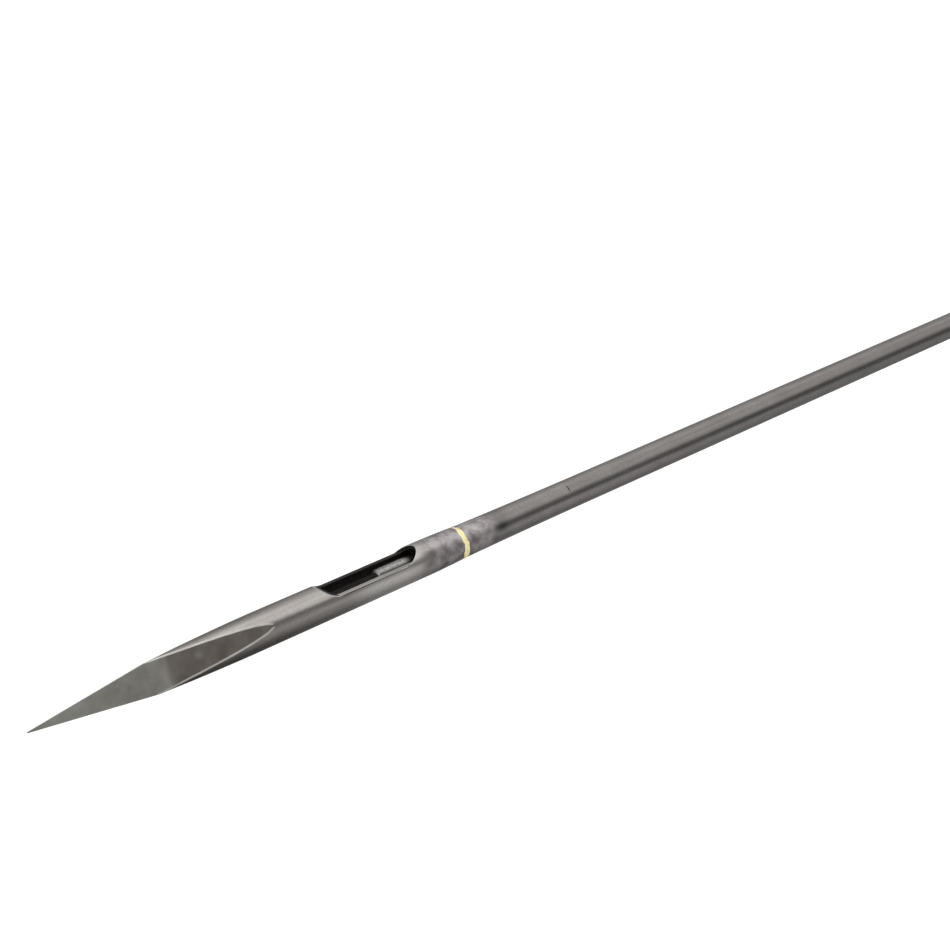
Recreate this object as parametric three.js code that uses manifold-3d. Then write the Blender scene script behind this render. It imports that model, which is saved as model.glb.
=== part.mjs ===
// A tufting needle with a spring latch, for drawing twine through a stuffed cushion.
// The point has three ground faces. Behind it a notch is cut across the tubular head, and the nose of a
// sliding rod closes the notch over the twine. A thumb button on the handle draws the rod back.
//
// Millimetres, +Z up. The needle's axis lies along X with the tip towards -X and the notch on top.
// The origin is on the flat under the handle. Stations are distances from the tip along the axis, and
// heights are measured from the axis.
import * as THREE from 'three';
import { mergeVertices } from 'three/addons/utils/BufferGeometryUtils.js';
import Module from 'manifold-3d';

const wasm = await Module();
wasm.setup();

// Driving dimensions of the blade
const bladeLength = 254;
const headDiameter = 4.8;
const headWall = 0.55;
const shaftDiameter = 4.2;
const shaftWall = 0.8;
const brazeGap = 0.05;
const rodRunningGap = 0.15;

// Three-sided point: each face is ground in two strokes, steeper at the front
const tipHeight = 0.03;
const frontFaceLength = 20.5;
const frontFaceAngle = THREE.MathUtils.degToRad(4.36);
const rearFaceAngle = THREE.MathUtils.degToRad(3.5);

// Notch for the twine, and the nose of the rod that closes it
const notchSetback = 7.7;
const notchLength = 16.2;
const notchRampLength = 1.6;
const notchHollowLength = 2;
const notchHollowTop = 2;
const notchRoundLength = 3.4;
const notchSideMargin = 0.25;
const notchCutterOffset = -0.1;
const noseDiameter = 1.6;
const noseRound = 0.32;
const noseLengthInNotch = 8.3;
const noseEngagement = 3.2;
const noseGuideGap = 0.15;
const noseShoulderLength = 0.3;
const openSpare = 0.2;

// Tail of the head, the brazed joint and the taper ground across it
const headTailLength = 7.85;
const ringWidth = 1.1;
const spigotSetback = 1.2;
const ringDrop = 0.17;
const shaftSwell = 0.13;
const shaftTaperLength = 24;

// Bush, ferrule and pins
const bushNoseLength = 4;
const bushNoseDiameter = 8.2;
const bushNoseTipDiameter = 6.2;
const bushNoseConeLength = 2.6;
const bushLength = 18;
const filletSize = 0.8;
const filletWaist = 0.24;
const filletEdge = 0.08;
const ferruleLength = 14;
const ferruleDiameter = 18;
const ferruleFrontWall = 1.2;
const ferruleCorner = 1.4;
const ferruleGrooveDepth = 0.25;
const ferruleGrooveSetback = 3;
const ferruleGroovePitch = 1.6;
const tenonDiameter = 15.2;
const fitGap = 0.05;
const pinDiameter = 1.5;
const pinOffset = 3.3;
const pinHeadHeight = 0.2;
const pinCrownDiameter = 1.05;

// Handle
const handleLength = 113;
const boreDiameter = 9;
const neckDiameter = 19;
const thumbDiameter = 22.4;
const bellyDiameter = 28;
const buttDiameter = 14.4;
const thumbSetback = 32;
const bellySetback = 85;
const landHeight = 9.6;
const landLength = 52;
const landRunOutRadius = 24;
const swellLevelShare = 0.45;
const buttLevelShare = 0.55;
const buttSquareShare = 0.62;

// Slide inside the handle
const washerThickness = 1.2;
const washerHoleDiameter = 5.2;
const closedGap = 0.3;
const carrierLength = 26;
const carrierRunningGap = 0.25;
const carrierChamfer = 0.5;
const carrierFlatHeight = 2.9;
const rodSeatLength = 10.5;
const rodSeatSpare = 0.4;
const setScrewDiameter = 3;
const setScrewLength = 2.3;
const setScrewSetback = 5;
const setScrewKey = 1.5;
const setScrewKeyDepth = 1.2;
const keySides = 6;
const springGuideDiameter = 4.8;
const carrierGuideLength = 4;
const plugGuideLength = 8;

// Spring
const springLength = 38;
const springDiameter = 7.8;
const springWire = 0.8;
const springCurls = 12;
const springSeatGap = 0.3;
const springEndPitch = 1.3;
const springWireSides = 5;
const springStepsPerCurl = 8;

// Thumb button, its stem and its screw
const stemSetback = 13;
const stemLength = 6;
const stemWidth = 4.2;
const padLength = 14;
const padWidth = 8.4;
const padHeight = 2.6;
const padCorner = 2;
const padRunningGap = 0.35;
const padLipHeight = 1.5;
const padLipLength = 1.2;
const toothPitch = 1.1;
const toothHeight = 0.4;
const toothSlopeShare = 0.75;
const screwLandMargin = 0.4;
const buttonScrewHead = 4.4;
const buttonScrewShank = 2.4;
const buttonScrewHeadHeight = 1.1;
const buttonScrewLength = 11.5;

// Plate that guides the button, and its screws
const plateThickness = 1.2;
const plateWidth = 9.2;
const plateEndMargin = 9.6;
const plateGap = 0.1;
const slotSideGap = 0.2;
const slotEndGap = 0.5;
const plateScrewHead = 3.6;
const plateScrewShank = 2;
const plateScrewHeadHeight = 0.9;
const plateScrewLength = 4.2;
const plateScrewSetback = 3.6;

// Shape that the screws share
const driverWidth = 0.6;
const screwTipSlope = 0.6;

// Plug in the butt
const plugHeadDiameter = 12;
const plugHeadHeight = 3;
const plugCrown = 0.8;
const plugFlatShare = 0.7;
const plugSlotWidth = 1.4;
const plugSlotDepth = 1.5;

// Sides of the polygons that stand for circles, steps along the curves, and how far a cutter overruns
const slimSides = 24;
const wideSides = 48;
const shapeSteps = 8;
const headTaperSteps = 6;
const shaftTaperSteps = 8;
const shoulderSteps = 4;
const swellSteps = 7;
const buttSteps = 8;
const domeSteps = 6;
const overrun = 1;

// Blade sizes and stations that follow from the driving dimensions
const headRadius = headDiameter / 2;
const headBore = headRadius - headWall;
const shaftRadius = shaftDiameter / 2;
const shaftBore = shaftRadius - shaftWall;
const rodRadius = shaftBore - rodRunningGap;
const noseRadius = noseDiameter / 2;
const guideRadius = noseRadius + noseGuideGap;
const spigotRadius = headBore - brazeGap;
const breakHeight = tipHeight + frontFaceLength * Math.tan(frontFaceAngle);
const faceEnd = frontFaceLength + (headRadius - breakHeight) / Math.tan(rearFaceAngle);
const notchFront = faceEnd + notchSetback;
const notchFloorFront = notchFront + notchRampLength;
const notchRear = notchFront + notchLength;
const headEnd = notchRear + headTailLength;
const ringEnd = headEnd + ringWidth;
const noseFront = notchFloorFront - noseEngagement;
const noseEnd = notchFloorFront + noseLengthInNotch;
const latchTravel = notchRear - noseFront + openSpare;

// Stations in the handle
const ferruleFront = bladeLength + bushNoseLength;
const tenonFront = ferruleFront + ferruleFrontWall;
const ferruleEnd = ferruleFront + ferruleLength;
const bushEnd = ferruleFront + bushLength;
const butt = ferruleFront + handleLength;
const belly = ferruleFront + bellySetback;
const boreRadius = boreDiameter / 2;
const carrierFront = bushEnd + washerThickness + closedGap;
const carrierEnd = carrierFront + carrierLength;
const carrierRadius = boreRadius - carrierRunningGap;
const rodEnd = carrierFront + rodSeatLength;
const stemCentre = carrierFront + stemSetback;
const slotFront = stemCentre - stemLength / 2 - slotEndGap;
const slotEnd = stemCentre + stemLength / 2 + latchTravel + slotEndGap;
const plateFront = slotFront - plateEndMargin;
const plateEnd = slotEnd + plateEndMargin;
const slotWidth = stemWidth + 2 * slotSideGap;
const plugFront = carrierEnd + springLength + 2 * springSeatGap;
const padBase = landHeight + padRunningGap;
const padTop = padBase + padHeight;

// The flat under the grip is level with the underside of the ferrule, so the tool lies on both
const ferruleRadius = ferruleDiameter / 2;
const axisHeight = ferruleRadius;

// Finishes
const groundSteel = new THREE.MeshStandardMaterial({ color: 0xb4b3b2, roughness: 0.34, metalness: 1 });
const drawnSteel = new THREE.MeshStandardMaterial({ color: 0x9c9a98, roughness: 0.38, metalness: 1 });
const rodSteel = new THREE.MeshStandardMaterial({ color: 0xa9a8a6, roughness: 0.42, metalness: 1 });
const braze = new THREE.MeshStandardMaterial({ color: 0xdfd5a3, roughness: 0.45, metalness: 1 });
const brass = new THREE.MeshStandardMaterial({ color: 0xc9a85c, roughness: 0.32, metalness: 1 });
const beech = new THREE.MeshStandardMaterial({ color: 0xb9824f, roughness: 0.42, metalness: 0 });
const leather = new THREE.MeshStandardMaterial({ color: 0x6d4529, roughness: 0.85, metalness: 0 });
const screwSteel = new THREE.MeshStandardMaterial({ color: 0x8f9092, roughness: 0.3, metalness: 1 });
const springSteel = new THREE.MeshStandardMaterial({ color: 0x6c6d70, roughness: 0.4, metalness: 1 });

// A closed geometry as a solid that can be joined and cut
function solid(geometry) {
  const bare = geometry.clone();
  bare.deleteAttribute('normal');
  bare.deleteAttribute('uv');
  const merged = mergeVertices(bare);
  const corners = merged.index.array;
  const triangles = [];
  for (let i = 0; i < corners.length; i += 3) {
    const [a, b, c] = [corners[i], corners[i + 1], corners[i + 2]];
    if (a !== b && b !== c && c !== a) triangles.push(a, b, c);
  }
  const vertProperties = new Float32Array(merged.attributes.position.array);
  const triVerts = new Uint32Array(triangles);
  return new wasm.Manifold(new wasm.Mesh({ numProp: 3, vertProperties, triVerts }));
}

// The solid's surface as a geometry
function geometryOf(shape) {
  const mesh = shape.getMesh();
  const geometry = new THREE.BufferGeometry();
  geometry.setAttribute('position', new THREE.BufferAttribute(mesh.vertProperties, 3));
  geometry.setIndex(new THREE.BufferAttribute(mesh.triVerts, 1));
  geometry.computeVertexNormals();
  return geometry;
}

function cut(body, ...cutters) {
  return cutters.reduce((left, cutter) => left.subtract(cutter), body);
}

// A piece turned about the needle's axis, from [station, radius] pairs
function turned(profile, sides = slimSides) {
  const points = profile.map(([station, radius]) => new THREE.Vector2(radius, station));
  return solid(new THREE.LatheGeometry(points, sides).rotateZ(-Math.PI / 2));
}

// A round hole along the axis
function drilled(front, end, radius, sides = slimSides) {
  return turned([[front, 0], [front, radius], [end, radius], [end, 0]], sides);
}

// A ring turned about the axis: its outer and inner profiles both run from front to back
function ring(outer, inner, sides = slimSides) {
  return turned([...outer, ...[...inner].reverse(), outer[0]], sides);
}

// A piece turned about an upright line, from [height, radius] pairs that run upwards
function upright(profile, station, across = 0, sides = slimSides) {
  const points = profile.map(([height, radius]) => new THREE.Vector2(radius, height));
  const lathe = new THREE.LatheGeometry(points, sides).rotateX(Math.PI / 2);
  return solid(lathe.translate(station, across, 0));
}

function uprightRod(radius, low, high, station, across = 0) {
  return upright([[low, 0], [low, radius], [high, radius], [high, 0]], station, across);
}

// An outline given a thickness
function slab(shape, depth) {
  return solid(new THREE.ExtrudeGeometry(shape, { depth, bevelEnabled: false, curveSegments: shapeSteps }));
}

// An outline of stations and heights, carried straight across the needle
function acrossNeedle(shape, width) {
  return slab(shape, width).rotate([90, 0, 0]).translate([0, width / 2, 0]);
}

// An outline of stations and widths, carried straight up
function upwards(shape, low, high) {
  return slab(shape, high - low).translate([0, 0, low]);
}

function box(front, end, width, low, high) {
  const block = new THREE.BoxGeometry(end - front, width, high - low);
  return solid(block.translate((front + end) / 2, 0, (low + high) / 2));
}

// A long hole or bar with round ends, seen from above
function stadium(front, end, width) {
  const radius = width / 2;
  const shape = new THREE.Shape();
  shape.moveTo(front + radius, -radius);
  shape.lineTo(end - radius, -radius);
  shape.absarc(end - radius, 0, radius, -Math.PI / 2, Math.PI / 2);
  shape.lineTo(front + radius, radius);
  shape.absarc(front + radius, 0, radius, Math.PI / 2, Math.PI * 1.5);
  return shape;
}

function roundedRectangle(front, end, width, corner) {
  const side = width / 2;
  const shape = new THREE.Shape();
  shape.moveTo(front + corner, -side);
  shape.lineTo(end - corner, -side);
  shape.absarc(end - corner, -side + corner, corner, -Math.PI / 2, 0);
  shape.lineTo(end, side - corner);
  shape.absarc(end - corner, side - corner, corner, 0, Math.PI / 2);
  shape.lineTo(front + corner, side);
  shape.absarc(front + corner, side - corner, corner, Math.PI / 2, Math.PI);
  shape.lineTo(front, -side + corner);
  shape.absarc(front + corner, -side + corner, corner, Math.PI, Math.PI * 1.5);
  return shape;
}

// Height pairs of a countersunk screw below its flush top, or of its hole when swollen
function screwProfile(top, rim, shank, headHeight, length, swell = 0) {
  const tip = top - length - swell;
  return [
    [tip, 0],
    [tip + shank * screwTipSlope, shank + swell],
    [top - headHeight, shank + swell],
    [top, rim + swell],
    [top, 0],
  ];
}

// Ground taper across the brazed joint: the head falls away ever faster, the tube eases out
function headProfileRadius(station) {
  const share = Math.max(0, (station - notchRear) / (ringEnd - notchRear));
  return headRadius - ringDrop * share ** 2;
}

function tubeProfileRadius(station) {
  const share = Math.min(1, (station - ringEnd) / shaftTaperLength);
  return shaftRadius + shaftSwell * (1 - share) ** 2;
}

function stationsBetween(front, end, steps) {
  return Array.from({ length: steps + 1 }, (_, i) => front + ((end - front) * i) / steps);
}

// Everything above one face of the point, before it is turned to its place round the axis
function faceStroke() {
  const over = headRadius + overrun;
  const overEnd = frontFaceLength + (over - breakHeight) / Math.tan(rearFaceAngle);
  const shape = new THREE.Shape();
  shape.moveTo(-overrun, over);
  shape.lineTo(-overrun, tipHeight - overrun * Math.tan(frontFaceAngle));
  shape.lineTo(frontFaceLength, breakHeight);
  shape.lineTo(overEnd, over);
  return acrossNeedle(shape, headDiameter * 3);
}

// The notch. Seen from the side it has a ramp in front, a flat floor and a hollow that climbs to an upright
// rear end. Seen from above that end is round, left by a cutter that stood a little off centre.
function notchCutter() {
  const floor = rodRadius;
  const high = headRadius + overrun;
  const rampSlope = (headRadius - floor) / notchRampLength;
  const front = notchFront - overrun / rampSlope;
  const side = new THREE.Shape();
  side.moveTo(front, high);
  side.lineTo(notchFloorFront, floor);
  side.lineTo(notchRear - notchHollowLength, floor);
  side.quadraticCurveTo(notchRear, floor, notchRear, notchHollowTop);
  side.lineTo(notchRear, high);

  const halfWidth = Math.sqrt(headRadius ** 2 - floor ** 2) + notchSideMargin;
  const roundCentre = notchRear - notchRoundLength;
  const plan = new THREE.Shape();
  plan.moveTo(front, notchCutterOffset - halfWidth);
  plan.lineTo(roundCentre, notchCutterOffset - halfWidth);
  plan.absellipse(roundCentre, notchCutterOffset, notchRoundLength, halfWidth, -Math.PI / 2, Math.PI / 2);
  plan.lineTo(front, notchCutterOffset + halfWidth);
  return acrossNeedle(side, headDiameter + 2 * overrun).intersect(upwards(plan, 0, high));
}

function needlePoint() {
  const tail = stationsBetween(notchRear, headEnd, headTaperSteps).map((s) => [s, headProfileRadius(s)]);
  const bar = turned([[0, 0], [0, headRadius], ...tail, [headEnd, 0]]);
  const guideEnd = noseFront - noseGuideGap;
  const hollow = turned([
    [guideEnd - guideRadius / 2, 0],
    [guideEnd, guideRadius],
    [notchFloorFront, guideRadius],
    [notchFloorFront, headBore],
    [headEnd + overrun, headBore],
    [headEnd + overrun, 0],
  ]);
  const faces = [60, 180, 300].map((turn) => {
    return faceStroke().transform(turnAboutAxis(THREE.MathUtils.degToRad(turn)));
  });
  return cut(bar, ...faces, notchCutter(), hollow);
}

function turnAboutAxis(angle) {
  return new THREE.Matrix4().makeRotationX(angle).toArray();
}

// The braze stands a hair proud of the ground steel on either side of it
function brazeRing() {
  const middle = (headEnd + ringEnd) / 2;
  const outer = [
    [headEnd, headProfileRadius(headEnd)],
    [middle, headProfileRadius(middle) + brazeGap / 2],
    [ringEnd, tubeProfileRadius(ringEnd)],
  ];
  const inner = [[headEnd, headBore], [ringEnd, headBore]];
  return ring(outer, inner);
}

function shaftTube() {
  const taperEnd = ringEnd + shaftTaperLength;
  const taper = stationsBetween(ringEnd, taperEnd, shaftTaperSteps).map((s) => [s, tubeProfileRadius(s)]);
  const spigotFront = notchRear + spigotSetback;
  const outer = [[spigotFront, spigotRadius], [ringEnd, spigotRadius], ...taper, [bushEnd, shaftRadius]];
  const inner = [[spigotFront, shaftBore], [bushEnd, shaftBore]];
  return ring(outer, inner);
}

function latchRod() {
  return turned([
    [noseFront, 0],
    [noseFront, noseRadius - noseRound],
    [noseFront + noseRound, noseRadius],
    [noseEnd, noseRadius],
    [noseEnd + noseShoulderLength, rodRadius],
    [rodEnd, rodRadius],
    [rodEnd, 0],
  ]);
}

function frontBush() {
  const coneEnd = bladeLength + bushNoseConeLength;
  const bodyRadius = boreRadius - fitGap;
  const outer = [
    [bladeLength, bushNoseTipDiameter / 2],
    [coneEnd, bushNoseDiameter / 2],
    [tenonFront, bushNoseDiameter / 2],
    [tenonFront, bodyRadius],
    [bushEnd, bodyRadius],
  ];
  const inner = [[bladeLength, shaftRadius + brazeGap], [bushEnd, shaftRadius + brazeGap]];
  return cut(ring(outer, inner), ...pinHoles());
}

function bushBrazeRing() {
  const front = bladeLength - filletSize;
  const inside = shaftRadius + brazeGap;
  const outer = [
    [front, inside + filletEdge],
    [bladeLength - filletSize / 2, inside + filletWaist],
    [bladeLength, inside + filletSize],
  ];
  return ring(outer, [[front, inside], [bladeLength, inside]]);
}

// The pins stand upright, one on each side of the tube, half way along the ferrule
const pinStation = (tenonFront + ferruleEnd) / 2;

function pinHoles() {
  const reach = ferruleDiameter;
  return [pinOffset, -pinOffset].map((across) => {
    return uprightRod(pinDiameter / 2 + fitGap, -reach, reach, pinStation, across);
  });
}

function ferrulePin(across) {
  const radius = pinDiameter / 2;
  const skin = Math.sqrt(ferruleRadius ** 2 - across ** 2);
  const end = skin + pinHeadHeight;
  const crown = pinCrownDiameter / 2;
  const profile = [[-end, 0], [-end, crown], [-skin, radius], [skin, radius], [end, crown], [end, 0]];
  return upright(profile, pinStation, across);
}

function ferrule() {
  const rounded = roundedEdge(ferruleFront, ferruleRadius, ferruleCorner);
  const grooves = [ferruleGroovePitch, 0].flatMap((lead) => {
    return grooveProfile(ferruleEnd - ferruleGrooveSetback - lead);
  });
  const outer = [...rounded, ...grooves, [ferruleEnd, ferruleRadius]];
  const insideRadius = tenonDiameter / 2 + fitGap;
  const holeRadius = bushNoseDiameter / 2 + fitGap;
  const inner = [
    [ferruleFront, holeRadius],
    [tenonFront, holeRadius],
    [tenonFront, insideRadius],
    [ferruleEnd, insideRadius],
  ];
  return cut(ring(outer, inner, wideSides), ...pinHoles());
}

function grooveProfile(station) {
  const half = ferruleGroovePitch / 4;
  return [
    [station - half, ferruleRadius],
    [station, ferruleRadius - ferruleGrooveDepth],
    [station + half, ferruleRadius],
  ];
}

// Outline of the grip from the ferrule to the butt: a round shoulder, a swell for the thumb, the belly
function gripOutline() {
  const neck = neckDiameter / 2;
  const thumb = thumbDiameter / 2;
  const bellyRadius = bellyDiameter / 2;
  const buttRadius = buttDiameter / 2;
  const shoulder = (neck - tenonDiameter / 2) / 2;
  const thumbStation = ferruleFront + thumbSetback;
  return [
    ...roundedEdge(ferruleEnd, neck, shoulder),
    ...swell([ferruleEnd + shoulder, neck], [thumbStation, thumb]),
    ...swell([thumbStation, thumb], [belly, bellyRadius]),
    ...buttRound([belly, bellyRadius], [butt, buttRadius]),
  ];
}

// A quarter round that climbs from a flat front face to a cylinder
function roundedEdge(front, radius, corner) {
  const centre = [front + corner, radius - corner];
  const arc = new THREE.EllipseCurve(...centre, corner, corner, Math.PI, Math.PI / 2, true);
  return arc.getPoints(shoulderSteps).map((p) => [p.x, p.y]);
}

// A smooth change of radius that starts and ends level; its first point belongs to what comes before
function swell(from, to) {
  const reach = (to[0] - from[0]) * swellLevelShare;
  const curve = new THREE.CubicBezierCurve(
    new THREE.Vector2(from[0], from[1]),
    new THREE.Vector2(from[0] + reach, from[1]),
    new THREE.Vector2(to[0] - reach, to[1]),
    new THREE.Vector2(to[0], to[1]),
  );
  return curve.getPoints(swellSteps).slice(1).map((p) => [p.x, p.y]);
}

// The butt leaves the belly level and meets its end face square
function buttRound(from, to) {
  const curve = new THREE.CubicBezierCurve(
    new THREE.Vector2(from[0], from[1]),
    new THREE.Vector2(from[0] + (to[0] - from[0]) * buttLevelShare, from[1]),
    new THREE.Vector2(to[0], to[1] + (from[1] - to[1]) * buttSquareShare),
    new THREE.Vector2(to[0], to[1]),
  );
  return curve.getPoints(buttSteps).slice(1).map((p) => [p.x, p.y]);
}

// The land for the thumb plate: flat on top, ending in the sweep of a round cutter
function landCutter() {
  const end = ferruleEnd + landLength;
  const over = bellyDiameter;
  const shape = new THREE.Shape();
  shape.moveTo(ferruleEnd - overrun, over);
  shape.lineTo(ferruleEnd - overrun, landHeight);
  shape.lineTo(end, landHeight);
  shape.absarc(end, landHeight + landRunOutRadius, landRunOutRadius, -Math.PI / 2, 0);
  shape.lineTo(end + landRunOutRadius, over + landRunOutRadius);
  shape.lineTo(ferruleEnd - overrun, over + landRunOutRadius);
  return acrossNeedle(shape, bellyDiameter * 2);
}

function handle() {
  const tenon = tenonDiameter / 2;
  const blank = turned(
    [[tenonFront, 0], [tenonFront, tenon], [ferruleEnd, tenon], ...gripOutline(), [butt, 0]],
    wideSides,
  );
  const bore = drilled(tenonFront - overrun, butt + overrun, boreRadius);
  const counterbore = drilled(butt - plugHeadHeight, butt + overrun, plugHeadDiameter / 2 + fitGap);
  const underside = box(ferruleFront, butt + overrun, bellyDiameter, -bellyDiameter, -axisHeight);
  const recess = upwards(
    stadium(plateFront - plateGap, plateEnd + plateGap, plateWidth + 2 * plateGap),
    landHeight - plateThickness,
    bellyDiameter,
  );
  const slotShape = stadium(slotFront - slotSideGap, slotEnd + slotSideGap, slotWidth + 2 * slotSideGap);
  const slot = upwards(slotShape, 0, bellyDiameter);
  const screwHoles = plateScrewStations().map((station) => {
    return upright(plateScrewProfile(fitGap), station);
  });
  return cut(blank, bore, counterbore, underside, landCutter(), recess, slot, ...screwHoles, ...pinHoles());
}

function plateScrewStations() {
  return [plateFront + plateScrewSetback, plateEnd - plateScrewSetback];
}

function plateScrewProfile(swell = 0) {
  return screwProfile(
    landHeight, plateScrewHead / 2, plateScrewShank / 2, plateScrewHeadHeight, plateScrewLength, swell,
  );
}

function slotPlate() {
  const low = landHeight - plateThickness;
  const blank = upwards(stadium(plateFront, plateEnd, plateWidth), low, landHeight);
  const slot = upwards(stadium(slotFront, slotEnd, slotWidth), low - overrun, landHeight + overrun);
  const holes = plateScrewStations().map((station) => upright(plateScrewProfile(fitGap), station));
  return cut(blank, slot, ...holes);
}

// A saw cut across a screw's head
function driverSlot(station, top, rimDiameter, depth) {
  const half = driverWidth / 2;
  return box(station - half, station + half, rimDiameter + overrun, top - depth, top + overrun);
}

function plateScrew(station) {
  return cut(
    upright(plateScrewProfile(), station),
    driverSlot(station, landHeight, plateScrewHead, plateScrewHeadHeight / 2),
  );
}

function slideCarrier() {
  const inset = carrierRadius - carrierChamfer;
  const guide = springGuideDiameter / 2;
  const guideEnd = carrierEnd + carrierGuideLength;
  const blank = turned([
    [carrierFront, 0],
    [carrierFront, inset],
    [carrierFront + carrierChamfer, carrierRadius],
    [carrierEnd - carrierChamfer, carrierRadius],
    [carrierEnd, inset],
    [carrierEnd, guide],
    [guideEnd - carrierChamfer, guide],
    [guideEnd, guide - carrierChamfer],
    [guideEnd, 0],
  ]);
  const seat = rodRadius + fitGap;
  const rodSeat = drilled(carrierFront - overrun, rodEnd + rodSeatSpare, seat);
  const half = stemLength / 2 + fitGap;
  const flat = box(stemCentre - half, stemCentre + half, boreDiameter, carrierFlatHeight, boreDiameter);
  const setScrewStation = carrierFront + setScrewSetback;
  const setScrewHole = uprightRod(setScrewDiameter / 2 + fitGap, 0, boreDiameter, setScrewStation);
  const tapped = upright(buttonScrewProfile(fitGap), stemCentre);
  return cut(blank, rodSeat, flat, setScrewHole, tapped);
}

function rodSetScrew() {
  const station = carrierFront + setScrewSetback;
  const low = rodRadius + fitGap;
  const top = low + setScrewLength;
  const body = uprightRod(setScrewDiameter / 2, low, top, station);
  const corner = setScrewKey / 2 / Math.cos(Math.PI / keySides);
  const floor = top - setScrewKeyDepth;
  const mouth = top + overrun;
  const key = upright([[floor, 0], [floor, corner], [mouth, corner], [mouth, 0]], station, 0, keySides);
  return cut(body, key);
}

// The pad seen from the side: a lip in front for the thumb to pull on, and teeth along the top
function padOutline() {
  const front = stemCentre - padLength / 2;
  const end = stemCentre + padLength / 2;
  const edge = padHeight / 2;
  const shape = new THREE.Shape();
  shape.moveTo(front, padBase);
  shape.lineTo(end, padBase);
  shape.lineTo(end, padBase + edge);
  shape.lineTo(end - edge, padTop);
  const screwLand = buttonScrewHead / 2 + screwLandMargin;
  teeth(shape, end - edge, stemCentre + screwLand);
  const lipEnd = front + edge + padLipLength;
  teeth(shape, stemCentre - screwLand, lipEnd + padLipHeight);
  shape.quadraticCurveTo(lipEnd, padTop, lipEnd, padTop + padLipHeight);
  shape.lineTo(front + edge, padTop + padLipHeight);
  shape.lineTo(front, padTop);
  return shape;
}

// Teeth from one station forward to another, each with its steep side towards the tip
function teeth(shape, from, to) {
  const count = Math.floor((from - to) / toothPitch);
  shape.lineTo(from, padTop);
  for (let i = 0; i < count; i += 1) {
    const start = from - i * toothPitch;
    shape.lineTo(start - toothPitch * toothSlopeShare, padTop + toothHeight);
    shape.lineTo(start - toothPitch, padTop);
  }
  shape.lineTo(to, padTop);
}

function buttonScrewProfile(swell = 0) {
  return screwProfile(
    padTop, buttonScrewHead / 2, buttonScrewShank / 2, buttonScrewHeadHeight, buttonScrewLength, swell,
  );
}

function thumbButton() {
  const front = stemCentre - padLength / 2;
  const end = stemCentre + padLength / 2;
  const plan = roundedRectangle(front, end, padWidth, padCorner);
  const footprint = upwards(plan, padBase, padTop + padLipHeight + overrun);
  const pad = acrossNeedle(padOutline(), padWidth).intersect(footprint);
  const stem = upwards(
    stadium(stemCentre - stemLength / 2, stemCentre + stemLength / 2, stemWidth),
    carrierFlatHeight,
    padBase + padHeight / 2,
  );
  return cut(pad.add(stem), upright(buttonScrewProfile(fitGap), stemCentre));
}

function buttonScrew() {
  return cut(
    upright(buttonScrewProfile(), stemCentre),
    driverSlot(stemCentre, padTop, buttonScrewHead, buttonScrewHeadHeight / 2),
  );
}

function bufferWasher() {
  const outer = boreRadius - carrierRunningGap;
  const inner = washerHoleDiameter / 2;
  const end = bushEnd + washerThickness;
  return ring([[bushEnd, outer], [end, outer]], [[bushEnd, inner], [end, inner]]);
}

// Rise of the spring's wire, closer at both ends than between them
class SpringLine extends THREE.Curve {
  constructor(front, length) {
    super();
    this.front = front;
    this.length = length;
  }

  getPoint(t, target = new THREE.Vector3()) {
    const angle = t * springCurls * 2 * Math.PI;
    const radius = (springDiameter - springWire) / 2;
    const evenShare = springEndPitch * springCurls / this.length;
    const eased = t * t * (3 - 2 * t);
    const share = evenShare * t + (1 - evenShare) * eased;
    return target.set(this.front + this.length * share, radius * Math.sin(angle), radius * Math.cos(angle));
  }
}

function springLine() {
  return new SpringLine(carrierEnd + springSeatGap + springWire / 2, springLength - springWire);
}

function returnSpring() {
  const section = new THREE.Shape();
  for (let i = 0; i < springWireSides; i += 1) {
    const angle = (i / springWireSides) * 2 * Math.PI;
    const [x, y] = [springWire / 2 * Math.cos(angle), springWire / 2 * Math.sin(angle)];
    if (i === 0) section.moveTo(x, y);
    else section.lineTo(x, y);
  }
  const steps = springCurls * springStepsPerCurl;
  const settings = { steps, extrudePath: springLine(), bevelEnabled: false };
  return solid(new THREE.ExtrudeGeometry(section, settings));
}

// Least room between neighbouring curls of the spring
function springGap() {
  const line = springLine();
  const curl = springStepsPerCurl * 3;
  const points = stationsBetween(0, 1, springCurls * curl).map((t) => line.getPoint(t));
  let least = Infinity;
  for (let i = 0; i < points.length; i += 1) {
    for (let j = i + curl / 2; j < points.length; j += 1) {
      least = Math.min(least, points[i].distanceTo(points[j]));
    }
  }
  return least - springWire;
}

function endPlug() {
  const guide = springGuideDiameter / 2;
  const shank = boreRadius - fitGap;
  const head = plugHeadDiameter / 2;
  const headFront = butt - plugHeadHeight;
  const crown = new THREE.Path();
  crown.moveTo(butt, head);
  crown.quadraticCurveTo(butt + plugCrown, head * plugFlatShare, butt + plugCrown, 0);
  const dome = crown.getPoints(domeSteps).map((p) => [p.x, p.y]);
  const blank = turned([
    [plugFront - plugGuideLength, 0],
    [plugFront - plugGuideLength, guide - carrierChamfer],
    [plugFront - plugGuideLength + carrierChamfer, guide],
    [plugFront, guide],
    [plugFront, shank],
    [headFront, shank],
    [headFront, head],
    ...dome,
  ]);
  const slotFloor = butt + plugCrown - plugSlotDepth;
  const saw = box(slotFloor, butt + plugCrown + overrun, plugSlotWidth, -head - overrun, head + overrun);
  return cut(blank, saw);
}

const blade = new THREE.Group();
const grip = new THREE.Group();
const latch = new THREE.Group();

function addPiece(group, name, shape, material) {
  const mesh = new THREE.Mesh(geometryOf(shape), material);
  mesh.name = name;
  group.add(mesh);
}

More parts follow.
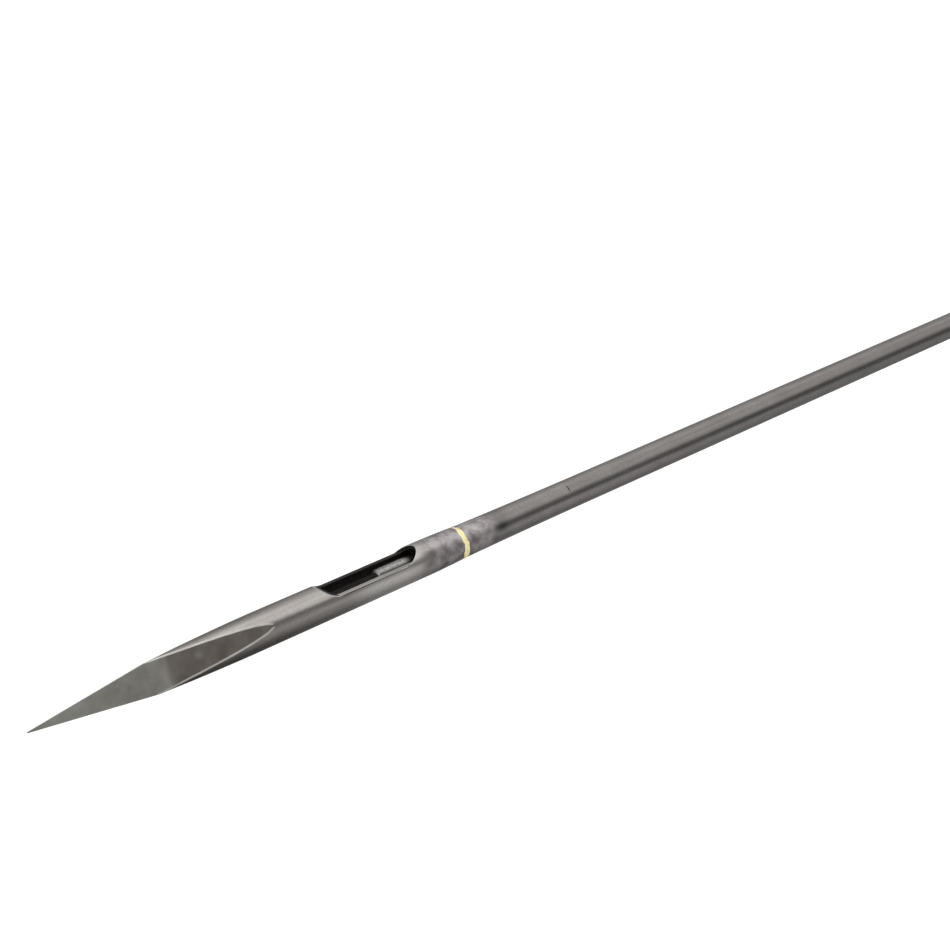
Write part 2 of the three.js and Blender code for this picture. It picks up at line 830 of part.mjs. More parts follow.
addPiece(blade, 'needle_point', needlePoint(), groundSteel);
addPiece(blade, 'braze_ring', brazeRing(), braze);
addPiece(blade, 'shaft_tube', shaftTube(), drawnSteel);
addPiece(blade, 'front_bush', frontBush(), brass);
addPiece(blade, 'bush_braze_ring', bushBrazeRing(), braze);

addPiece(grip, 'ferrule', ferrule(), brass);
addPiece(grip, 'ferrule_pin_left', ferrulePin(pinOffset), screwSteel);
addPiece(grip, 'ferrule_pin_right', ferrulePin(-pinOffset), screwSteel);
addPiece(grip, 'handle', handle(), beech);
addPiece(grip, 'slot_plate', slotPlate(), brass);
addPiece(grip, 'plate_screw_front', plateScrew(plateScrewStations()[0]), screwSteel);
addPiece(grip, 'plate_screw_rear', plateScrew(plateScrewStations()[1]), screwSteel);
addPiece(grip, 'buffer_washer', bufferWasher(), leather);
addPiece(grip, 'end_plug', endPlug(), brass);
addPiece(grip, 'return_spring', returnSpring(), springSteel);

addPiece(latch, 'latch_rod', latchRod(), rodSteel);
addPiece(latch, 'slide_carrier', slideCarrier(), brass);
addPiece(latch, 'rod_set_screw', rodSetScrew(), screwSteel);
addPiece(latch, 'thumb_button', thumbButton(), groundSteel);
addPiece(latch, 'button_screw', buttonScrew(), screwSteel);

console.log(`least gap between the spring's curls: ${springGap().toFixed(2)} mm`);

// The axis lies above the flat under the belly, which is where the origin is
const needle = new THREE.Group();
needle.position.set(-belly, 0, axisHeight);
needle.add(blade, grip, latch);

export default needle;
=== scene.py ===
# %% [markdown]
# A tufting needle pulls twine through a stuffed cushion. Behind its ground point a notch is cut across the
# tubular head, and the nose of a sliding rod closes the notch over the twine. The photograph shows the
# front of the blade from close by. The turned beech handle with its thumb button lies outside that view.
# The imported part gives every solid its place. Here each solid but the leather washer gets a finer piece
# with real edges, and everything gets real finishes and a quiet studio, piece by piece.

import math

import bmesh
import bpy
from mathutils import Matrix, Vector
from mathutils.geometry import interpolate_bezier


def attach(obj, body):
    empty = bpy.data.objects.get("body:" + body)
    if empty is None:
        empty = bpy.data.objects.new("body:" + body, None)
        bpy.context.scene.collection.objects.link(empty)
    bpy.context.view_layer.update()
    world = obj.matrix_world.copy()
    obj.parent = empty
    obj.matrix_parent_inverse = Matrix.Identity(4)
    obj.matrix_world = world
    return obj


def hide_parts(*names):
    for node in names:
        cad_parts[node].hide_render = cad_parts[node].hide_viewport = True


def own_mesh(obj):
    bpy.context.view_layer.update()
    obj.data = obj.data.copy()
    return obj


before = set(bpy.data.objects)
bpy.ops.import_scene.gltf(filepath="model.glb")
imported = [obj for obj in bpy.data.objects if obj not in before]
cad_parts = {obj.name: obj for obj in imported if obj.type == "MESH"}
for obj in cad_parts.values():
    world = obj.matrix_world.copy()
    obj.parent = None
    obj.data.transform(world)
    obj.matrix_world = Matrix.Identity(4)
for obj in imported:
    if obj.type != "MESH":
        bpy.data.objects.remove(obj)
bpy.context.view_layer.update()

# %% [markdown]
# All sizes are in millimetres, as a maker would give them. A station is a distance from the tip along the
# needle's axis, and a height is measured from that axis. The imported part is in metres, with its origin on
# the flat under the handle, so one matrix carries every finished mesh to its place.

# %% From the maker's millimetres to the part's metres
BELLY_STATION = 343.0
AXIS_HEIGHT = 9.0
MILLIMETRE = 0.001

to_part = Matrix.Scale(MILLIMETRE, 4) @ Matrix.Translation((-BELLY_STATION, 0, AXIS_HEIGHT))
print("the tip is at", [round(value, 4) for value in to_part @ Vector((0, 0, 0))])

# %% [markdown]
# The camera stands close to the point, so the blade shrinks visibly towards the right edge. Its place,
# its two angles and its slight roll were found by fitting known stations of the blade to the photograph.
# They are set before anything else, because every later decision is judged through this view.

# %% Camera
CAMERA_PLACE = (-0.4302, -0.15845, 0.11587)
CAMERA_AZIMUTH = math.radians(-44.64)
CAMERA_ELEVATION = math.radians(23.783)
CAMERA_ROLL = math.radians(-0.66)
LENS_MM = 70.1
SENSOR_MM = 36
NEAREST_SEEN = 0.01

camera_data = bpy.data.cameras.new("photo_camera")
camera_data.lens = LENS_MM
camera_data.sensor_width = SENSOR_MM
camera_data.clip_start = NEAREST_SEEN
camera = bpy.data.objects.new("photo_camera", camera_data)
bpy.context.scene.collection.objects.link(camera)
camera.matrix_world = (
    Matrix.Translation(CAMERA_PLACE)
    @ Matrix.Rotation(CAMERA_AZIMUTH, 4, "Z")
    @ Matrix.Rotation(math.pi / 2 - CAMERA_ELEVATION, 4, "X")
    @ Matrix.Rotation(CAMERA_ROLL, 4, "Z")
)
bpy.context.scene.camera = camera
print("camera axes:", [[round(v, 3) for v in row] for row in camera.matrix_world.to_3x3().transposed()])

# %% [markdown]
# Nearly every piece of this tool comes off a lathe. In Blender a lathe is the spin operator: a wire of a
# few corners is drawn beside the axis and spun once round. Corners that a turner would ease are rounded
# with a vertex bevel before the spin, which costs only a few extra vertices.

# %% Wires and turned shapes
WELD = 0.002
CORNER_STEPS = 4
STEPS_PER_MM = 3
DRILL_SIDES = 40
SCREW_SIDES = 48
SLIM_SIDES = 64
PART_SIDES = 96
HEAD_SIDES = 144
WIDE_SIDES = 160


def wire(corners, place, closed=False):
    """A wire through corners given as (along, out) or (along, out, rounding)."""
    bm = bmesh.new()
    verts = [bm.verts.new(place(along, out)) for along, out, *_ in corners]
    for pair in zip(verts, verts[1:]):
        bm.edges.new(pair)
    if closed:
        bm.edges.new((verts[-1], verts[0]))
    rounded = {}
    for vert, corner in zip(verts, corners):
        if len(corner) > 2:
            rounded.setdefault(corner[2], []).append(vert)
    for rounding, chosen in rounded.items():
        bmesh.ops.bevel(
            bm, geom=chosen, offset=rounding, offset_type="OFFSET", affect="VERTICES",
            segments=max(CORNER_STEPS, round(STEPS_PER_MM * rounding)), profile=0.5, material=-1,
        )
    return bm


def spun(bm, centre, axis, sides):
    """Spin a wire once round a line and close the skin."""
    bmesh.ops.spin(
        bm, geom=bm.verts[:] + bm.edges[:], cent=centre, axis=axis,
        angle=2 * math.pi, steps=sides, use_merge=True,
    )
    bmesh.ops.remove_doubles(bm, verts=bm.verts[:], dist=WELD)
    bmesh.ops.recalc_face_normals(bm, faces=bm.faces[:])
    return bm


def turned(corners, sides=SLIM_SIDES, closed=False):
    """A shape turned about the needle's axis from (station, radius) corners."""
    bm = wire(corners, lambda station, radius: (station, 0, radius), closed)
    return spun(bm, (0, 0, 0), (1, 0, 0), sides)


def upright(corners, station, across=0.0, sides=DRILL_SIDES):
    """A shape turned about an upright line from (height, radius) corners."""
    bm = wire(corners, lambda height, radius: (station + radius, across, height))
    return spun(bm, (station, across, 0), (0, 0, 1), sides)


def bar(low, high, radius):
    """Corners of a plain cylinder between two places on its axis."""
    return [(low, 0), (low, radius), (high, radius), (high, 0)]


print("lathe ready, usual numbers of sides:", DRILL_SIDES, "to", WIDE_SIDES)

# %% [markdown]
# What the lathe can't do is milled. A cutter is a face drawn from a few corners and extruded, and the
# boolean solver takes it out of the work. The exact solver is chosen because the cuts graze curved walls.
# The empty material slots let the faces of the work keep their surface numbers through the cut.

# %% Milling cutters and cuts
OVERRUN = 1.0
SURFACE_KINDS = 4


def only(kind, items):
    """The items of one kind, because operators give back corners, edges and faces together."""
    return [item for item in items if isinstance(item, kind)]


def extruded(bm, faces, travel):
    """Extrude the faces along travel and turn the whole skin outwards."""
    swept = bmesh.ops.extrude_face_region(bm, geom=faces)["geom"]
    bmesh.ops.translate(bm, verts=only(bmesh.types.BMVert, swept), vec=travel)
    bmesh.ops.recalc_face_normals(bm, faces=bm.faces[:])
    return bm


def prism(corners, place, travel):
    """A face through the corners, extruded along travel."""
    bm = wire(corners, place, closed=True)
    return extruded(bm, bmesh.ops.contextual_create(bm, geom=bm.edges[:])["faces"], travel)


def across_needle(corners, width):
    """An outline of stations and heights, carried straight across."""
    return prism(corners, lambda station, height: (station, -width / 2, height), (0, width, 0))


def upwards(corners, low, high):
    """An outline of stations and widths, carried straight up."""
    return prism(corners, lambda station, across: (station, across, low), (0, 0, high - low))


def rectangle(front, end, low, high, *rounding):
    """Four corners, sharp or with a rounding."""
    places = ((front, low), (end, low), (end, high), (front, high))
    return [(*place, *rounding) for place in places]


def stadium(front, end, width):
    """Corners of a slot with round ends, seen from above."""
    return rectangle(front, end, -width / 2, width / 2, width / 2)


def combined(bm, others, operation="DIFFERENCE"):
    """One shape after a boolean with the others. All of them are used up."""
    made = []
    for shape in [bm, *others]:
        mesh = bpy.data.meshes.new("workpiece")
        for number in range(SURFACE_KINDS):
            mesh.materials.append(None)
        shape.to_mesh(mesh)
        shape.free()
        made.append(bpy.data.objects.new("workpiece", mesh))
        bpy.context.scene.collection.objects.link(made[-1])
    for tool in made[1:]:
        step = made[0].modifiers.new("cut", "BOOLEAN")
        step.solver = "EXACT"
        step.operation = operation
        step.object = tool
    result = bmesh.new()
    result.from_object(made[0], bpy.context.evaluated_depsgraph_get())
    for item in made:
        bpy.data.meshes.remove(item.data)
    bmesh.ops.remove_doubles(result, verts=result.verts[:], dist=WELD)
    bmesh.ops.dissolve_degenerate(result, edges=result.edges[:], dist=WELD)
    return result


def eased(bm, width, sharper_than=35, segments=2, chosen=None, surface=None, clamp=True):
    """Break the sharp edges with a narrow rounded bevel, and mark it as a surface of its own if asked."""
    limit = math.radians(sharper_than)
    edges = [
        edge for edge in bm.edges
        if edge.is_manifold and edge.calc_face_angle() > limit and (chosen is None or chosen(edge))
    ]
    made = bmesh.ops.bevel(
        bm, geom=edges, offset=width, offset_type="OFFSET", affect="EDGES",
        segments=segments, profile=0.5, material=-1, clamp_overlap=clamp,
    )
    if surface is not None:
        for face in made["faces"]:
            face.material_index = surface
    return bm


def behind(station):
    """A test for the edges that lie wholly behind a station."""
    return lambda edge: min(vert.co.x for vert in edge.verts) > station


print("surfaces that a cut keeps apart:", SURFACE_KINDS)

# %% [markdown]
# A finished piece is carried to the part's frame, its place in its mesh, and its object stays at the
# origin. Faces are smooth except the flat ones that a grinder or a mill left. Edges sharper than a set
# angle stay sharp, and so does the border of every surface with a finish of its own. The piece then
# takes over from its solid and rides on the same body.

# %% Hand a finished piece to the part
SHARP_ANGLE = math.radians(30)
pieces = {}


def hand_over(name, bm, node, body, flat_faces=(), flat_above=math.inf):
    """Make the object, let it replace its solid and ride on its body. Big milled faces can stay flat."""
    for face in bm.faces:
        face.smooth = face.material_index not in flat_faces and face.calc_area() < flat_above
    for edge in bm.edges:
        surfaces = {face.material_index for face in edge.link_faces}
        edge.smooth = len(surfaces) == 1 and edge.calc_face_angle(0) < SHARP_ANGLE
    mesh = bpy.data.meshes.new(name)
    bm.to_mesh(mesh)
    bm.free()
    mesh.transform(to_part)
    piece = bpy.data.objects.new(name, mesh)
    bpy.context.scene.collection.objects.link(piece)
    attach(piece, body)
    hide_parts(node)
    pieces[name] = piece
    print(f"{name}: {len(mesh.polygons)} faces")
    return piece


print("edges stay sharp from", round(math.degrees(SHARP_ANGLE)), "degrees")

# %% [markdown]
# The head is a steel bar of 4.8 mm, drilled from behind, so that its rear is a tube. Where it meets the
# shaft it is ground down a little across the brazed joint. It starts as a plain turned bar.

# %% Turn the bar of the head
HEAD_RADIUS = 2.4
HEAD_BORE = 1.85
NOTCH_REAR = 57.95
HEAD_END = 65.45
RING_END = 66.55
RING_DROP = 0.17
TAIL_STEPS = 10


def head_radius(station):
    """Radius of the head, which falls away ever faster behind the notch."""
    share = max(0.0, (station - NOTCH_REAR) / (RING_END - NOTCH_REAR))
    return HEAD_RADIUS - RING_DROP * share ** 2


def spaced(first, last, steps):
    """Evenly spaced values from first to last."""
    return [first + (last - first) * step / steps for step in range(steps + 1)]


tail = [(station, head_radius(station)) for station in spaced(NOTCH_REAR, HEAD_END, TAIL_STEPS)]
head = turned([(0, 0), (0, HEAD_RADIUS), *tail, (HEAD_END, 0)], HEAD_SIDES)
print("bar turned:", len(head.verts), "vertices")

# %% [markdown]
# The point has three flat faces, ground on a wheel by hand, so no two of them are quite alike. Each face
# took two strokes, and the front one is a little steeper, which shows as a soft break in tone. A plane
# cut with the bisect operator is just such a stroke. The ridges between the faces are stoned a hair
# flat: that plane stands square to the line half way between its two neighbours.

# %% Grind the three faces and stone the ridges
TIP_HEIGHT = 0.08
STROKE_BREAK = 20.5
RIDGE_DEPTH = 0.08
# Each face: its turn about the axis, and the climb of its front and rear strokes, all in degrees
FACES = ((60, 4.45, 3.3), (177.5, 4.05, 3.1), (303.5, 4.3, 3.05))
OUTSIDE, GROUND_FACE, INSIDE, WORN_EDGE = 0, 1, 2, 3


def ground(bm, place, normal, surface):
    """Grind away all that lies beyond a plane and close the fresh surface."""
    cut = bmesh.ops.bisect_plane(
        bm, geom=bm.verts[:] + bm.edges[:] + bm.faces[:],
        plane_co=place, plane_no=normal, clear_outer=True,
    )
    rim = only(bmesh.types.BMEdge, cut["geom_cut"])
    for face in bmesh.ops.contextual_create(bm, geom=rim)["faces"]:
        face.material_index = surface


def stroke(turn, climb, station, height):
    """A point and the normal of a plane that climbs from (station, height), turned about the axis."""
    turning = Matrix.Rotation(math.radians(turn), 3, "X")
    slope = math.tan(math.radians(climb))
    return turning @ Vector((station, 0, height)), turning @ Vector((-slope, 0, 1)).normalized()


front_strokes = []
for turn, front_climb, rear_climb in FACES:
    break_height = TIP_HEIGHT + STROKE_BREAK * math.tan(math.radians(front_climb))
    front_strokes.append(stroke(turn, front_climb, 0, TIP_HEIGHT))
    ground(head, *front_strokes[-1], GROUND_FACE)
    ground(head, *stroke(turn, rear_climb, STROKE_BREAK, break_height), GROUND_FACE)

neighbours = front_strokes[1:] + front_strokes[:1]
for (place, normal), (next_place, next_normal) in zip(front_strokes, neighbours):
    both = normal + next_normal
    reach = (normal.dot(place) + next_normal.dot(next_place)) / both.length - RIDGE_DEPTH
    ground(head, both.normalized() * reach, both.normalized(), WORN_EDGE)
print("faces after grinding:", len(head.faces))

# %% [markdown]
# The notch takes the twine. Seen from the side it has a short ramp in front, a flat floor just above the
# sliding rod and a hollow that climbs to an upright rear end. Seen from above the rear end is round,
# because a round cutter left it. The cutter is therefore the common part of two extruded outlines.

# %% Mill the notch and drill the bore
FLOOR_HEIGHT = 1.15
NOTCH_FRONT = 41.4
NOTCH_RAMP = 1.6
RAMP_FOOT = 1.15
NOTCH_FLOOR_FRONT = NOTCH_FRONT + NOTCH_RAMP
HOLLOW_LENGTH = 2.0
HOLLOW_TOP = 2.0
HOLLOW_PULL = 2 / 3
ROUND_LENGTH = 3.6
SIDE_MARGIN = 0.23
CUTTER_OFFSET = 0.2
NOSE_FRONT = 39.8
GUIDE_RADIUS = 0.95
GUIDE_END = NOSE_FRONT - 0.15


def curve(start, start_handle, end_handle, end, steps):
    """Points along a plane curve that two handles shape, its first one left out."""
    flat = [Vector((along, out, 0)) for along, out in (start, start_handle, end_handle, end)]
    return [(point.x, point.y) for point in interpolate_bezier(*flat, steps + 1)[1:]]


def notch_cutter():
    """The ramp, floor and hollow seen from the side, within the round-ended slot seen from above."""
    high = HEAD_RADIUS + OVERRUN
    front = NOTCH_FRONT - OVERRUN * NOTCH_RAMP / (HEAD_RADIUS - FLOOR_HEIGHT)
    hollow_front = NOTCH_REAR - HOLLOW_LENGTH
    hollow = curve(
        (hollow_front, FLOOR_HEIGHT),
        (hollow_front + HOLLOW_LENGTH * HOLLOW_PULL, FLOOR_HEIGHT),
        (NOTCH_REAR, HOLLOW_TOP + (FLOOR_HEIGHT - HOLLOW_TOP) * HOLLOW_PULL),
        (NOTCH_REAR, HOLLOW_TOP), 12,
    )
    side = [(front, high), (NOTCH_FLOOR_FRONT, FLOOR_HEIGHT, RAMP_FOOT), (hollow_front, FLOOR_HEIGHT)]
    side += [*hollow, (NOTCH_REAR, high)]
    half = math.sqrt(HEAD_RADIUS ** 2 - FLOOR_HEIGHT ** 2) + SIDE_MARGIN
    plan = bmesh.new()
    bmesh.ops.create_circle(plan, cap_ends=True, radius=1, segments=PART_SIDES)
    bmesh.ops.scale(plan, vec=(ROUND_LENGTH, half, 1), verts=plan.verts[:])
    slot_front = [vert for vert in plan.verts if vert.co.x < -WELD]
    bmesh.ops.translate(plan, vec=(-NOTCH_REAR / 2, 0, 0), verts=slot_front)
    bmesh.ops.translate(plan, vec=(NOTCH_REAR - ROUND_LENGTH, CUTTER_OFFSET, 0), verts=plan.verts[:])
    extruded(plan, plan.faces[:], (0, 0, high + OVERRUN))
    return combined(across_needle(side, 4 * HEAD_RADIUS), [plan], "INTERSECT")


def bore_cutter():
    """The narrow guide for the rod's nose, then the bore of the tube."""
    return turned([
        (GUIDE_END - GUIDE_RADIUS / 2, 0),
        (GUIDE_END, GUIDE_RADIUS),
        (NOTCH_FLOOR_FRONT, GUIDE_RADIUS),
        (NOTCH_FLOOR_FRONT, HEAD_BORE),
        (HEAD_END + OVERRUN, HEAD_BORE),
        (HEAD_END + OVERRUN, 0),
    ], PART_SIDES)


head = combined(head, [notch_cutter(), bore_cutter()])
print("faces after milling:", len(head.faces))

# %% [markdown]
# Use and handling polish the edges, so the borders of the ground faces and the outer lips of the notch
# get a narrow rounding of their own, and the new faces are marked as worn. The bore has the black scale of
# brazing with painted shade over it. The far land and the round rear of the notch are painted black as
# shade, so the notch looks like a dark slot.

# %% Wear the edges and mark the surfaces
FACE_EASE = 0.13
OUTER_EASE = 0.1
LIP_EASE = 0.05
# How near the notch and the skin its edges lie, and how the faces of a cut or a bore must point
NOTCH_MARGIN = 1.0
SKIN_DEPTH = 0.05
POINTS_IN = -0.3
POINTS_OUT = 0.97
POINTS_UP = 0.99


def middle_of(edge):
    """The middle of an edge."""
    return (edge.verts[0].co + edge.verts[1].co) / 2


def borders_ground_face(edge):
    """Whether an edge parts a ground face from the round of the head."""
    kinds = {face.material_index for face in edge.link_faces}
    return kinds == {OUTSIDE, GROUND_FACE}


def at_notch(edge):
    """Whether an edge belongs to the mouth of the notch."""
    middle = middle_of(edge)
    near = NOTCH_FRONT - NOTCH_MARGIN < middle.x < NOTCH_REAR + NOTCH_MARGIN
    return near and middle.z > FLOOR_HEIGHT - 0.1


def on_outside(edge):
    """Whether an edge of the notch lies on the round outside of the head."""
    middle = middle_of(edge)
    return at_notch(edge) and math.hypot(middle.y, middle.z) > HEAD_RADIUS - SKIN_DEPTH


def mark_surface(face):
    """Scale and painted shade in the bore, painted shade on the far land and round the rear of the notch,
    bright wear on the near land.
    """
    middle = face.calc_center_median()
    outwards = Vector((0, middle.y, middle.z)).normalized()
    in_bore = middle.x > GUIDE_END - 1 and face.normal.dot(outwards) < POINTS_IN
    milled = NOTCH_FLOOR_FRONT - 0.3 < middle.x < NOTCH_REAR + 0.1 and middle.z > FLOOR_HEIGHT - 0.01
    milled = milled and face.normal.dot(outwards) < POINTS_OUT
    land = milled and face.normal.z > POINTS_UP
    # Painted shade: the bore, the far land and the round rear of the notch take the black of the bore's
    # scale
    if in_bore or (milled and not land) or (land and middle.y > 0):
        face.material_index = INSIDE
    elif land:
        face.material_index = WORN_EDGE


def looks_in(face):
    """Whether a face of the round outside points at the axis."""
    middle = face.calc_center_median()
    return face.normal.dot(Vector((0, middle.y, middle.z))) < 0


def untangle(bm):
    """Join each strip of the bar that a wider bevel turned over with the strip beside it."""
    bm.normal_update()
    crossed = [
        edge for edge in bm.edges
        if edge.is_manifold and edge.calc_length() > 1
        and all(face.material_index == OUTSIDE for face in edge.link_faces)
        and any(looks_in(face) for face in edge.link_faces)
    ]
    bmesh.ops.dissolve_edges(bm, edges=crossed, use_verts=False)
    bm.normal_update()
    print("strips joined:", len(crossed))


for face in head.faces:
    if face.material_index == OUTSIDE:
        mark_surface(face)
eased(
    head, FACE_EASE, sharper_than=6, segments=3, surface=WORN_EDGE, chosen=borders_ground_face, clamp=False,
)
untangle(head)
eased(head, OUTER_EASE, segments=3, surface=WORN_EDGE, chosen=on_outside, clamp=False)
untangle(head)
eased(head, LIP_EASE, sharper_than=50, chosen=at_notch)
hand_over("ground_head", head, "needle_point", "needle_body", flat_faces=(GROUND_FACE,))

# %% [markdown]
# The rod is plain drawn wire. Its front is turned down to a nose that crosses the notch and enters the
# guide hole, so the twine can't slip out. The nose is blackened like the bore around it, and the little
# shoulder behind it marks where the bare rod begins.

# %% Turn the sliding rod
ROD_RADIUS = 1.15
NOSE_RADIUS = 0.8
NOSE_END = 51.3
SHOULDER_LENGTH = 0.3
ROD_END = 288.0

rod = turned([
    (NOSE_FRONT, 0),
    (NOSE_FRONT, NOSE_RADIUS, 0.3),
    (NOSE_END, NOSE_RADIUS, 0.06),
    (NOSE_END + SHOULDER_LENGTH, ROD_RADIUS, 0.06),
    (ROD_END, ROD_RADIUS, 0.2),
    (ROD_END, 0),
], 72)
for face in rod.faces:
    if face.calc_center_median().x < NOSE_END + 0.1:
        face.material_index = 1
hand_over("sliding_rod", rod, "latch_rod", "latch_body")

# %% [markdown]
# The shaft is a drawn tube with a wall of 0.8 mm. Its front end is turned down to a spigot that slides
# into the head, and a ring of brazing metal fills the step. Behind the ring the tube narrows slowly from
# the ground joint to its own diameter. The ring stands a hair proud of the steel on either side.

# %% Turn the tube and the ring of braze
SHAFT_RADIUS = 2.1
SHAFT_BORE = 1.3
SHAFT_SWELL = 0.13
TAPER_LENGTH = 24.0
TAPER_STEPS = 16
SPIGOT_FRONT = 58.8
SPIGOT_RADIUS = 1.8
BUSH_END = 276.0
RING_PROUD = 0.012


def tube_radius(station):
    """Radius of the tube, which eases from the joint to its drawn size."""
    share = min(1.0, (station - RING_END) / TAPER_LENGTH)
    return SHAFT_RADIUS + SHAFT_SWELL * (1 - share) ** 2


taper_stations = spaced(RING_END, RING_END + TAPER_LENGTH, TAPER_STEPS)
taper = [(station, tube_radius(station)) for station in taper_stations]
tube = turned([
    (SPIGOT_FRONT, SHAFT_BORE),
    (SPIGOT_FRONT, SPIGOT_RADIUS, 0.15),
    (RING_END, SPIGOT_RADIUS),
    *taper,
    (BUSH_END, SHAFT_RADIUS),
    (BUSH_END, SHAFT_BORE),
], HEAD_SIDES, closed=True)
hand_over("drawn_tube", tube, "shaft_tube", "needle_body")

ring = turned([
    (HEAD_END, HEAD_BORE),
    (HEAD_END, head_radius(HEAD_END)),
    ((HEAD_END + RING_END) / 2, head_radius(HEAD_END) + RING_PROUD),
    (RING_END, tube_radius(RING_END)),
    (RING_END, HEAD_BORE),
], HEAD_SIDES, closed=True)
hand_over("brazed_ring", ring, "braze_ring", "needle_body")

# %% [markdown]
# A turned brass bush carries the rear end of the tube in the handle. Its nose comes out of the ferrule
# as a short cone, and a fillet of braze runs round the tube in front of it.

# %% Turn the bush and its fillet
BLADE_END = 254.0
TENON_FRONT = 259.2
BUSH_NOSE_RADIUS = 4.1
BUSH_TIP_RADIUS = 3.1
CONE_END = 256.6
BORE_RADIUS = 4.5
FIT = 0.05
TUBE_SEAT = SHAFT_RADIUS + FIT
FILLET_SIZE = 0.8
FILLET_LIP = 0.08

bush = turned([
    (BLADE_END, TUBE_SEAT),
    (BLADE_END, BUSH_TIP_RADIUS, 0.12),
    (CONE_END, BUSH_NOSE_RADIUS, 0.25),
    (TENON_FRONT, BUSH_NOSE_RADIUS),
    (TENON_FRONT, BORE_RADIUS - FIT),
    (BUSH_END, BORE_RADIUS - FIT, 0.2),
    (BUSH_END, TUBE_SEAT),
], PART_SIDES, closed=True)

fillet_front = BLADE_END - FILLET_SIZE
fillet = turned([
    (fillet_front, TUBE_SEAT),
    (fillet_front, TUBE_SEAT + FILLET_LIP),
    *curve(
        (fillet_front, TUBE_SEAT + FILLET_LIP),
        (BLADE_END - FILLET_SIZE / 2, TUBE_SEAT + 0.1),
        (BLADE_END - 0.1, TUBE_SEAT + FILLET_SIZE / 2),
        (BLADE_END, TUBE_SEAT + FILLET_SIZE), 6,
    ),
    (BLADE_END, TUBE_SEAT),
], PART_SIDES, closed=True)
hand_over("bush_fillet", fillet, "bush_braze_ring", "needle_body")

# %% [markdown]
# The ferrule keeps the wood from splitting. It is turned from brass with a rounded front corner and two
# shallow grooves near its rear edge. Two steel pins go down through ferrule, wood and bush, one on each
# side of the tube, and are filed nearly flush, so the round ferrule shows them as small soft crowns.

# %% Turn the ferrule and drill it for its pins
FERRULE_FRONT = 258.0
FERRULE_END = 272.0
FERRULE_RADIUS = 9.0
TENON_RADIUS = 7.6
GROOVE_DEPTH = 0.25
GROOVE_PITCH = 1.6
GROOVE_SETBACK = 3.0
PIN_RADIUS = 0.75
PIN_OFFSET = 3.3
PIN_STATION = (TENON_FRONT + FERRULE_END) / 2
PIN_CROWN = 0.2
PIN_HOLE_SIDES = 32


def pin_holes():
    """Two upright drills through the ferrule, one on each side of the tube."""
    profile = bar(-2 * FERRULE_RADIUS, 2 * FERRULE_RADIUS, PIN_RADIUS + FIT)
    return [upright(profile, PIN_STATION, across, PIN_HOLE_SIDES) for across in (PIN_OFFSET, -PIN_OFFSET)]


def groove(station):
    """Three corners of a shallow turned groove, eased."""
    half = GROOVE_PITCH / 4
    return [
        (station - half, FERRULE_RADIUS, 0.1),
        (station, FERRULE_RADIUS - GROOVE_DEPTH, 0.14),
        (station + half, FERRULE_RADIUS, 0.1),
    ]


ferrule = turned([
    (FERRULE_FRONT, BUSH_NOSE_RADIUS + FIT),
    (FERRULE_FRONT, FERRULE_RADIUS, 1.4),
    *groove(FERRULE_END - GROOVE_SETBACK - GROOVE_PITCH),
    *groove(FERRULE_END - GROOVE_SETBACK),
    (FERRULE_END, FERRULE_RADIUS, 0.2),
    (FERRULE_END, TENON_RADIUS + FIT),
    (TENON_FRONT, TENON_RADIUS + FIT),
    (TENON_FRONT, BUSH_NOSE_RADIUS + FIT),
], WIDE_SIDES, closed=True)
ferrule = combined(ferrule, pin_holes())
hand_over("brass_ferrule", ferrule, "ferrule", "needle_body")

bush = combined(bush, pin_holes())
hand_over("turned_bush", bush, "front_bush", "needle_body")

# %% [markdown]
# The pins are cut from wire. They end a little above the ferrule's skin, where the file has rounded them.

# %% Turn the two pins
PIN_BEVEL = 0.2


def ferrule_pin(across):
    """A pin with filed crowns that follow the ferrule."""
    skin = math.sqrt(FERRULE_RADIUS ** 2 - across ** 2)
    end = skin + PIN_CROWN
    return upright([
        (-end, 0),
        (-end, PIN_RADIUS - PIN_BEVEL, 0.12),
        (-skin, PIN_RADIUS, 0.08),
        (skin, PIN_RADIUS, 0.08),
        (end, PIN_RADIUS - PIN_BEVEL, 0.12),
        (end, 0),
    ], PIN_STATION, across)


for name, node, across in (
    ("left_pin", "ferrule_pin_left", PIN_OFFSET),
    ("right_pin", "ferrule_pin_right", -PIN_OFFSET),
):
    hand_over(name, ferrule_pin(across), node, "needle_body")

# %% [markdown]
# The handle is turned from one block of beech: a tenon in the ferrule, a neck with a rounded shoulder, a
# swell for the thumb, a belly that fills the palm, and a butt that falls in to a small end face. Each
# stretch is a curve with two handles that starts level, and all but the butt end level too. The whole
# outline is then spun.

# %% Turn the grip
NECK_RADIUS = 9.5
THUMB_STATION = 290.0
THUMB_RADIUS = 11.2
BELLY_RADIUS = 14.0
BUTT_STATION = 371.0
BUTT_RADIUS = 7.2
SHOULDER = (NECK_RADIUS - TENON_RADIUS) / 2
EASY_CURVE = 0.45
BUTT_FULLNESS = (0.55, 0.62)
PLUG_HEAD_RADIUS = 6.0
PLUG_HEAD_HEIGHT = 3.0


def swell(start, end, steps):
    """A change of radius that leaves and arrives level."""
    reach = (end[0] - start[0]) * EASY_CURVE
    return curve(start, (start[0] + reach, start[1]), (end[0] - reach, end[1]), end, steps)


def butt_round(start, end, steps):
    """The rounding of the butt, level at the belly and square at its end face."""
    along, out = BUTT_FULLNESS
    level = (start[0] + (end[0] - start[0]) * along, start[1])
    square = (end[0], end[1] + (start[1] - end[1]) * out)
    return curve(start, level, square, end, steps)


